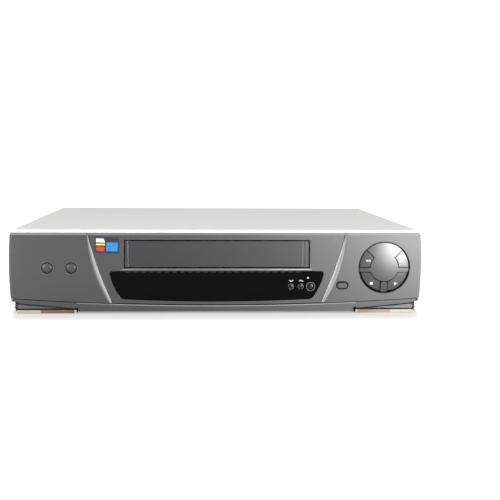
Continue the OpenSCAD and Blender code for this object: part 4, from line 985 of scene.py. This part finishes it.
@dataclass
class Controls(Assembly):
    """Buttons, the round transport cluster and the symbols on its keys."""

    wears: dict[str, str] = field(
        default_factory=lambda: {
            "transport_trim": "cluster_metallic",
            "power_button": "button_metallic",
            "eject_button": "button_metallic",
            "rewind_button": "key_metallic",
            "forward_button": "key_metallic",
            "stop_button": "key_metallic",
            "play_button": "key_metallic",
            "timer_button": "button_metallic",
            "channel_down_button": "small_button",
            "channel_up_button": "small_button",
            "record_button": "small_button",
        }
    )
    cluster: Point = (175.8, 49.0)
    cluster_r: float = 26.9
    dome_h: float = 2.2
    round_r: float = 5.1
    round_at: tuple[Point, ...] = ((-176.1, 48.6), (-151.3, 48.6))
    timer_at: Point = (131.6, 29.9)
    timer_size: Pair = (10.0, 5.2)
    small_at: tuple[Point, ...] = ((77.7, 28.5), (88.0, 28.5), (98.3, 28.5))
    # Width, line and how far each painted highlight ring stands out.
    small_ring_highlights: tuple[Triple, ...] = (
        (6.0, 0.5, 0.1), (6.0, 0.5, 0.1), (9.3, 0.9, 0.56)
    )
    arc_section: tuple[Point, ...] = ((24.9, 0.72), (26.05, 1.5), (24.9, 1.5))

    def build(self) -> None:
        """Makes black rings round the buttons as painted shade in their gaps, bright rims round
        the round buttons and grey rings round the small buttons as painted highlights, and the
        keys' symbols.
        """
        self.build_caps()
        # Painted shade: black rings in the gaps round the round buttons, the timer and the
        # cluster; painted highlight: bright rims round the round buttons.
        wells = Workpiece("button_shade_rings", "painted_gap_shade", "recorder", "black_plastic")
        rims = Workpiece("well_rim_highlights", "highlight_metallic", "recorder", "panel_plastic")
        for x, z in self.round_at:
            inner, outer = 2 * self.round_r + 0.2, 2 * self.round_r + 2.5
            wells.band(oval(x, z, outer, outer), oval(x, z, inner, inner), FACE - 0.03, FACE + 2)
            rims.band(
                oval(x, z, outer + 0.9, outer + 0.9), oval(x, z, outer, outer),
                FACE - 0.12, FACE + 0.2,
            )
        (x, z), (length, height) = self.timer_at, self.timer_size
        wells.band(
            oval(x, z + 0.2, length + 3.5, height + 3.7), oval(x, z, length + 0.2, height + 0.2),
            FACE - 0.02, FACE + 1.5,
        )
        (x, z), edge = self.cluster, 2 * self.cluster_r
        wells.band(
            oval(x, z, edge + 1.1, edge + 1.1, 128), oval(x, z, edge - 0.1, edge - 0.1, 128),
            FACE - 0.02, FACE + 1.5,
        )
        wells.finished()
        rims.finished()
        # Painted highlight: grey rings on the edges of the small buttons' pockets.
        rings = Workpiece("small_ring_highlights", "pocket_highlight_grey", "recorder", "window_gloss")
        for (x, z), (width, line, proud) in zip(self.small_at, self.small_ring_highlights, strict=True):
            outer, inner = oval(x, z, width, width), oval(x, z, width - line, width - line)
            rings.band(outer, inner, MIDDLE - proud, MIDDLE + 0.04)
        rings.finished()
        self.build_symbols()
        self.build_arcs()

    def build_caps(self) -> None:
        """Makes the domed faces of the power and eject buttons."""
        face = [(0.0, 0.2), (1.6, 0.26), (3.0, 0.4), (4.0, 0.58), (4.8, 0.84)]
        dome = [*face, (4.8, 1.0), (0.0, 1.0)]
        for body, (x, z) in zip(("power", "eject"), self.round_at, strict=True):
            cap = Workpiece(f"{body}_dome", "button_metallic", body, "button_plastic")
            cap.ring(spot(x, 0, z), dome)
            cap.finished(smooth=True)

    def crown(self, x: float, z: float) -> float:
        """Finds the depth of the crowned cluster, in millimetres, at a place."""
        sphere = (self.cluster_r**2 + self.dome_h**2) / (2 * self.dome_h)
        away = (x - self.cluster[0]) ** 2 + (z - self.cluster[1]) ** 2
        return sphere - math.sqrt(sphere**2 - away)

    def build_arcs(self) -> None:
        """Makes the outer bevels of the lower keys: the play key's bright as a painted highlight,
        the stop key's black as painted shade.
        """
        # Painted highlight on the play key's bevel and painted shade on the stop key's.
        arcs = {"play": (-72.0, -8.0, "edge_highlight"), "stop": (188.0, 252.0, "painted_gap_shade")}
        for body, (start, end, finish) in arcs.items():
            arc = Workpiece(f"{body}_bevel", finish, body, "button_plastic")
            sections = []
            for i in range(25):
                angle = math.radians(start + (end - start) * i / 24)
                section = []
                for radius, step in self.arc_section:
                    x = self.cluster[0] + radius * math.cos(angle)
                    z = self.cluster[1] + radius * math.sin(angle)
                    section.append(spot(x, self.crown(x, z) + step, z))
                sections.append(section)
            arc.swept(sections)
            arc.finished()

    def build_symbols(self) -> None:
        """Prints the symbols of the four transport keys, each on its key."""
        triangle = [(-1.15, -1.0), (0.95, 0.0), (-1.15, 1.0)]
        square = [(-1.5, -1.5), (1.5, -1.5), (1.5, 1.5), (-1.5, 1.5)]
        symbols = {
            "rewind": [(157.1, 56.2, -1.2, triangle), (159.6, 56.2, -1.2, triangle)],
            "forward": [(193.2, 56.2, 1.2, triangle), (195.7, 56.2, 1.2, triangle)],
            "stop": [(162.7, 32.0, 1.0, square)],
            "play": [(188.9, 31.8, 1.7, triangle)],
        }
        for body, marks in symbols.items():
            symbol = Workpiece(f"{body}_symbol", "print_white", body, "white_plastic")
            step = 0.1 if body in ("rewind", "forward") else 0.8
            for x, z, size, shape in marks:
                points = [(x + px * size, z + pz * abs(size)) for px, pz in shape]
                symbol.skin(points, lambda px, pz, step=step: self.crown(px, pz) + step)
            symbol.finished()


@dataclass
class Back(Assembly):
    """Sockets, aerial unit and mains inlet."""

    wears: dict[str, str] = field(
        default_factory=lambda: {
            "scart_sockets": "black_plastic",
            "rf_unit": "nickel",
            "mains_inlet": "black_plastic",
        }
    )


@dataclass
class Electronics(Assembly):
    """Boards with their parts."""

    wears: dict[str, str] = field(
        default_factory=lambda: {
            "front_board": "board_green",
            "tact_switches": "black_plastic",
            "display_tube": "tube_glass",
            "main_board": "board_green",
            "board_parts": "black_plastic",
            "power_board": "board_brown",
            "power_transformer": "winding",
            "heat_sink": "aluminium",
            "power_capacitors": "can_blue",
        }
    )


@dataclass
class Carriage(Assembly):
    """Frame, slider and holder that take the cassette in."""

    wears: dict[str, str] = field(
        default_factory=lambda: {
            "carriage_frame": "galvanised",
            "carriage_slider": "black_plastic",
            "cassette_holder": "galvanised",
        }
    )


@dataclass
class TapeDeck(Assembly):
    """Everything that carries, drives and guides the tape."""

    wears: dict[str, str] = field(
        default_factory=lambda: {
            "mechanism_deck": "galvanised",
            "lower_drum": "aluminium",
            "upper_drum": "aluminium",
            "capstan_flywheel": "steel",
            "capstan_bearing": "bronze",
            "capstan_stator": "board_green",
            "clutch_pulley": "white_plastic",
            "reel_belt": "black_rubber",
            "idler_arm": "steel",
            "idler_wheel": "black_rubber",
            "supply_reel": "black_plastic",
            "takeup_reel": "black_plastic",
            "pinch_arm": "steel",
            "pinch_roller": "black_rubber",
            "tension_arm": "steel",
            "erase_head": "steel",
            "audio_head": "steel",
            "loading_ring_left": "black_plastic",
            "loading_ring_right": "black_plastic",
            "loading_gear_left": "white_plastic",
            "loading_gear_right": "white_plastic",
            "loading_worm": "white_plastic",
            "loading_motor": "steel",
        }
    )


# ---------------------------------------------------------------- studio


@dataclass
class Studio:
    """Floor, lamps, surroundings and camera of the picture."""

    camera_at: Triple = (-0.0216, -0.8747, 0.1708)
    yaw: float = 2.29
    tilt: float = 5.24
    roll: float = 0.36
    focal: float = 709.0
    shift: Pair = (0.05, -0.0693)
    floor_r: float = 9.0
    above: float = 0.85
    ahead: float = 0.035
    # The floor's own white is lower near the recorder, a painted shadow round its footprint.
    near_lift: float = 0.3
    far_lift: float = 1.0
    footprint: Triple = (0.2, 0.13, 0.0)
    stretch: Triple = (3.0, 1.0, 1.0)
    lift_from: Pair = (0.03, 0.09)

    def build(self) -> None:
        """Builds the whole studio."""
        self.build_floor()
        self.build_surroundings()
        self.lamp("right_softbox", (0.82, -1.38, 0.3), (0.5, 0.6), 31.0)
        self.lamp("left_softbox", (-1.0, -1.05, 0.3), (0.25, 0.7), 15.0)
        self.lamp("top_softbox", (0.0, -0.1, 1.7), (1.6, 1.4), 9.0)
        self.build_camera()

    def build_floor(self) -> None:
        """Lays the pale floor, which keeps the recorder's shadow and is painted darker round its
        footprint.
        """
        shape = bmesh.new()
        bmesh.ops.create_circle(shape, cap_ends=True, segments=96, radius=self.floor_r)
        mesh = bpy.data.meshes.new("floor")
        shape.to_mesh(mesh)
        shape.free()
        floor = bpy.data.objects.new("floor", mesh)
        bpy.context.scene.collection.objects.link(floor)
        white = bpy.data.materials.new("floor_white")
        painter = Painter(white)
        painter.fill(painter.shader, Base_Color=(0.5, 0.5, 0.5, 1.0), Roughness=0.9)
        lift = painter.add("Emission", Color=(1.0, 1.0, 1.0, 1.0), Strength=self.seen(painter))
        both = painter.add("AddShader")
        painter.tree.links.new(painter.shader.outputs["BSDF"], both.inputs[0])
        painter.tree.links.new(lift.outputs["Emission"], both.inputs[1])
        end = painter.tree.nodes["Material Output"]
        painter.tree.links.new(both.outputs["Shader"], end.inputs["Surface"])
        mesh.materials.append(white)

    def seen(self, painter: Painter) -> Socket:
        """Tells what the camera sees, straight or mirrored, from what lights the object.

        Args:
            painter: The floor's material.

        Returns:
            Strength of the floor's own white.
        """
        ray = painter.add("LightPath").outputs
        seen = painter.worked("Math", "MAXIMUM", ray["Is Camera Ray"], ray["Is Transmission Ray"])
        return painter.worked("Math", "MULTIPLY", seen, self.away(painter))

    def away(self, painter: Painter) -> Socket:
        """Grows the floor's white with the distance from the recorder's footprint, a painted
        shadow round it.

        Args:
            painter: The floor's material.

        Returns:
            Strength of the white at a place.
        """
        size = painter.worked("VectorMath", "ABSOLUTE", painter.place)
        beside = painter.worked("VectorMath", "SUBTRACT", size, self.footprint)
        outside = painter.worked("VectorMath", "MAXIMUM", beside)
        wider = painter.worked("VectorMath", "MULTIPLY", outside, self.stretch)
        length = painter.worked("VectorMath", "LENGTH", wider)
        return painter.span(length, self.near_lift, self.far_lift, *self.lift_from)

    def build_surroundings(self) -> None:
        """Surrounds the scene with white, dimmer where the photographer stands."""
        world = bpy.data.worlds.new("surroundings")
        bpy.context.scene.world = world
        painter = Painter(world)
        way = painter.add("SeparateXYZ", Vector=painter.ways["Generated"]).outputs
        back = painter.span(way["Y"], self.ahead, 0.8, -0.75, 0.1)
        up = painter.span(way["Z"], 0.0, self.above, 0.45, 0.9)
        most = painter.worked("Math", "MAXIMUM", back, up)
        ray = painter.add("LightPath").outputs["Is Camera Ray"]
        seen = painter.worked("Math", "MAXIMUM", ray, most)
        painter.fill(painter.shader, Strength=seen, Color=(1.0, 1.0, 1.0, 1.0))

    def lamp(self, name: str, place: Triple, size: Pair, power: float) -> None:
        """Hangs one softbox that faces the recorder.

        Args:
            name: Name of the lamp.
            place: Where it hangs, in metres.
            size: Its width and height in metres.
            power: Its power in watts.
        """
        data = bpy.data.lights.new(name, "AREA")
        data.shape = "RECTANGLE"
        data.size, data.size_y = size
        data.energy = power
        lamp = bpy.data.objects.new(name, data)
        bpy.context.scene.collection.objects.link(lamp)
        lamp.location = place
        away = Vector((0.0, 0.0, 0.05)) - Vector(place)
        lamp.rotation_euler = away.to_track_quat("-Z", "Y").to_euler()

    def build_camera(self) -> None:
        """Sets the camera where the photographer's stood."""
        data = bpy.data.cameras.new("camera")
        data.sensor_width = 36.0
        data.lens = self.focal / PICTURE * data.sensor_width
        data.shift_x, data.shift_y = self.shift
        camera = bpy.data.objects.new("camera", data)
        bpy.context.scene.collection.objects.link(camera)
        camera.location = self.camera_at
        aim = Euler((math.radians(90 - self.tilt), 0.0, math.radians(-self.yaw)))
        rolled = aim.to_matrix() @ Matrix.Rotation(math.radians(self.roll), 3, "Z")
        camera.rotation_euler = rolled.to_euler()
        bpy.context.scene.camera = camera
        bpy.context.scene.view_settings.view_transform = "Standard"


def main() -> None:
    """Builds and dresses the sub-assemblies in order, then the studio."""
    logging.basicConfig(level=logging.INFO, format="%(message)s")
    parts = (Casing(), Front(), Controls(), Back(), Electronics(), Carriage(), TapeDeck())
    for part in parts:
        part.build()
        part.dress()
        LOG.info("%s done", type(part).__name__)
    Studio().build()


if __name__ == "__main__":
    main()
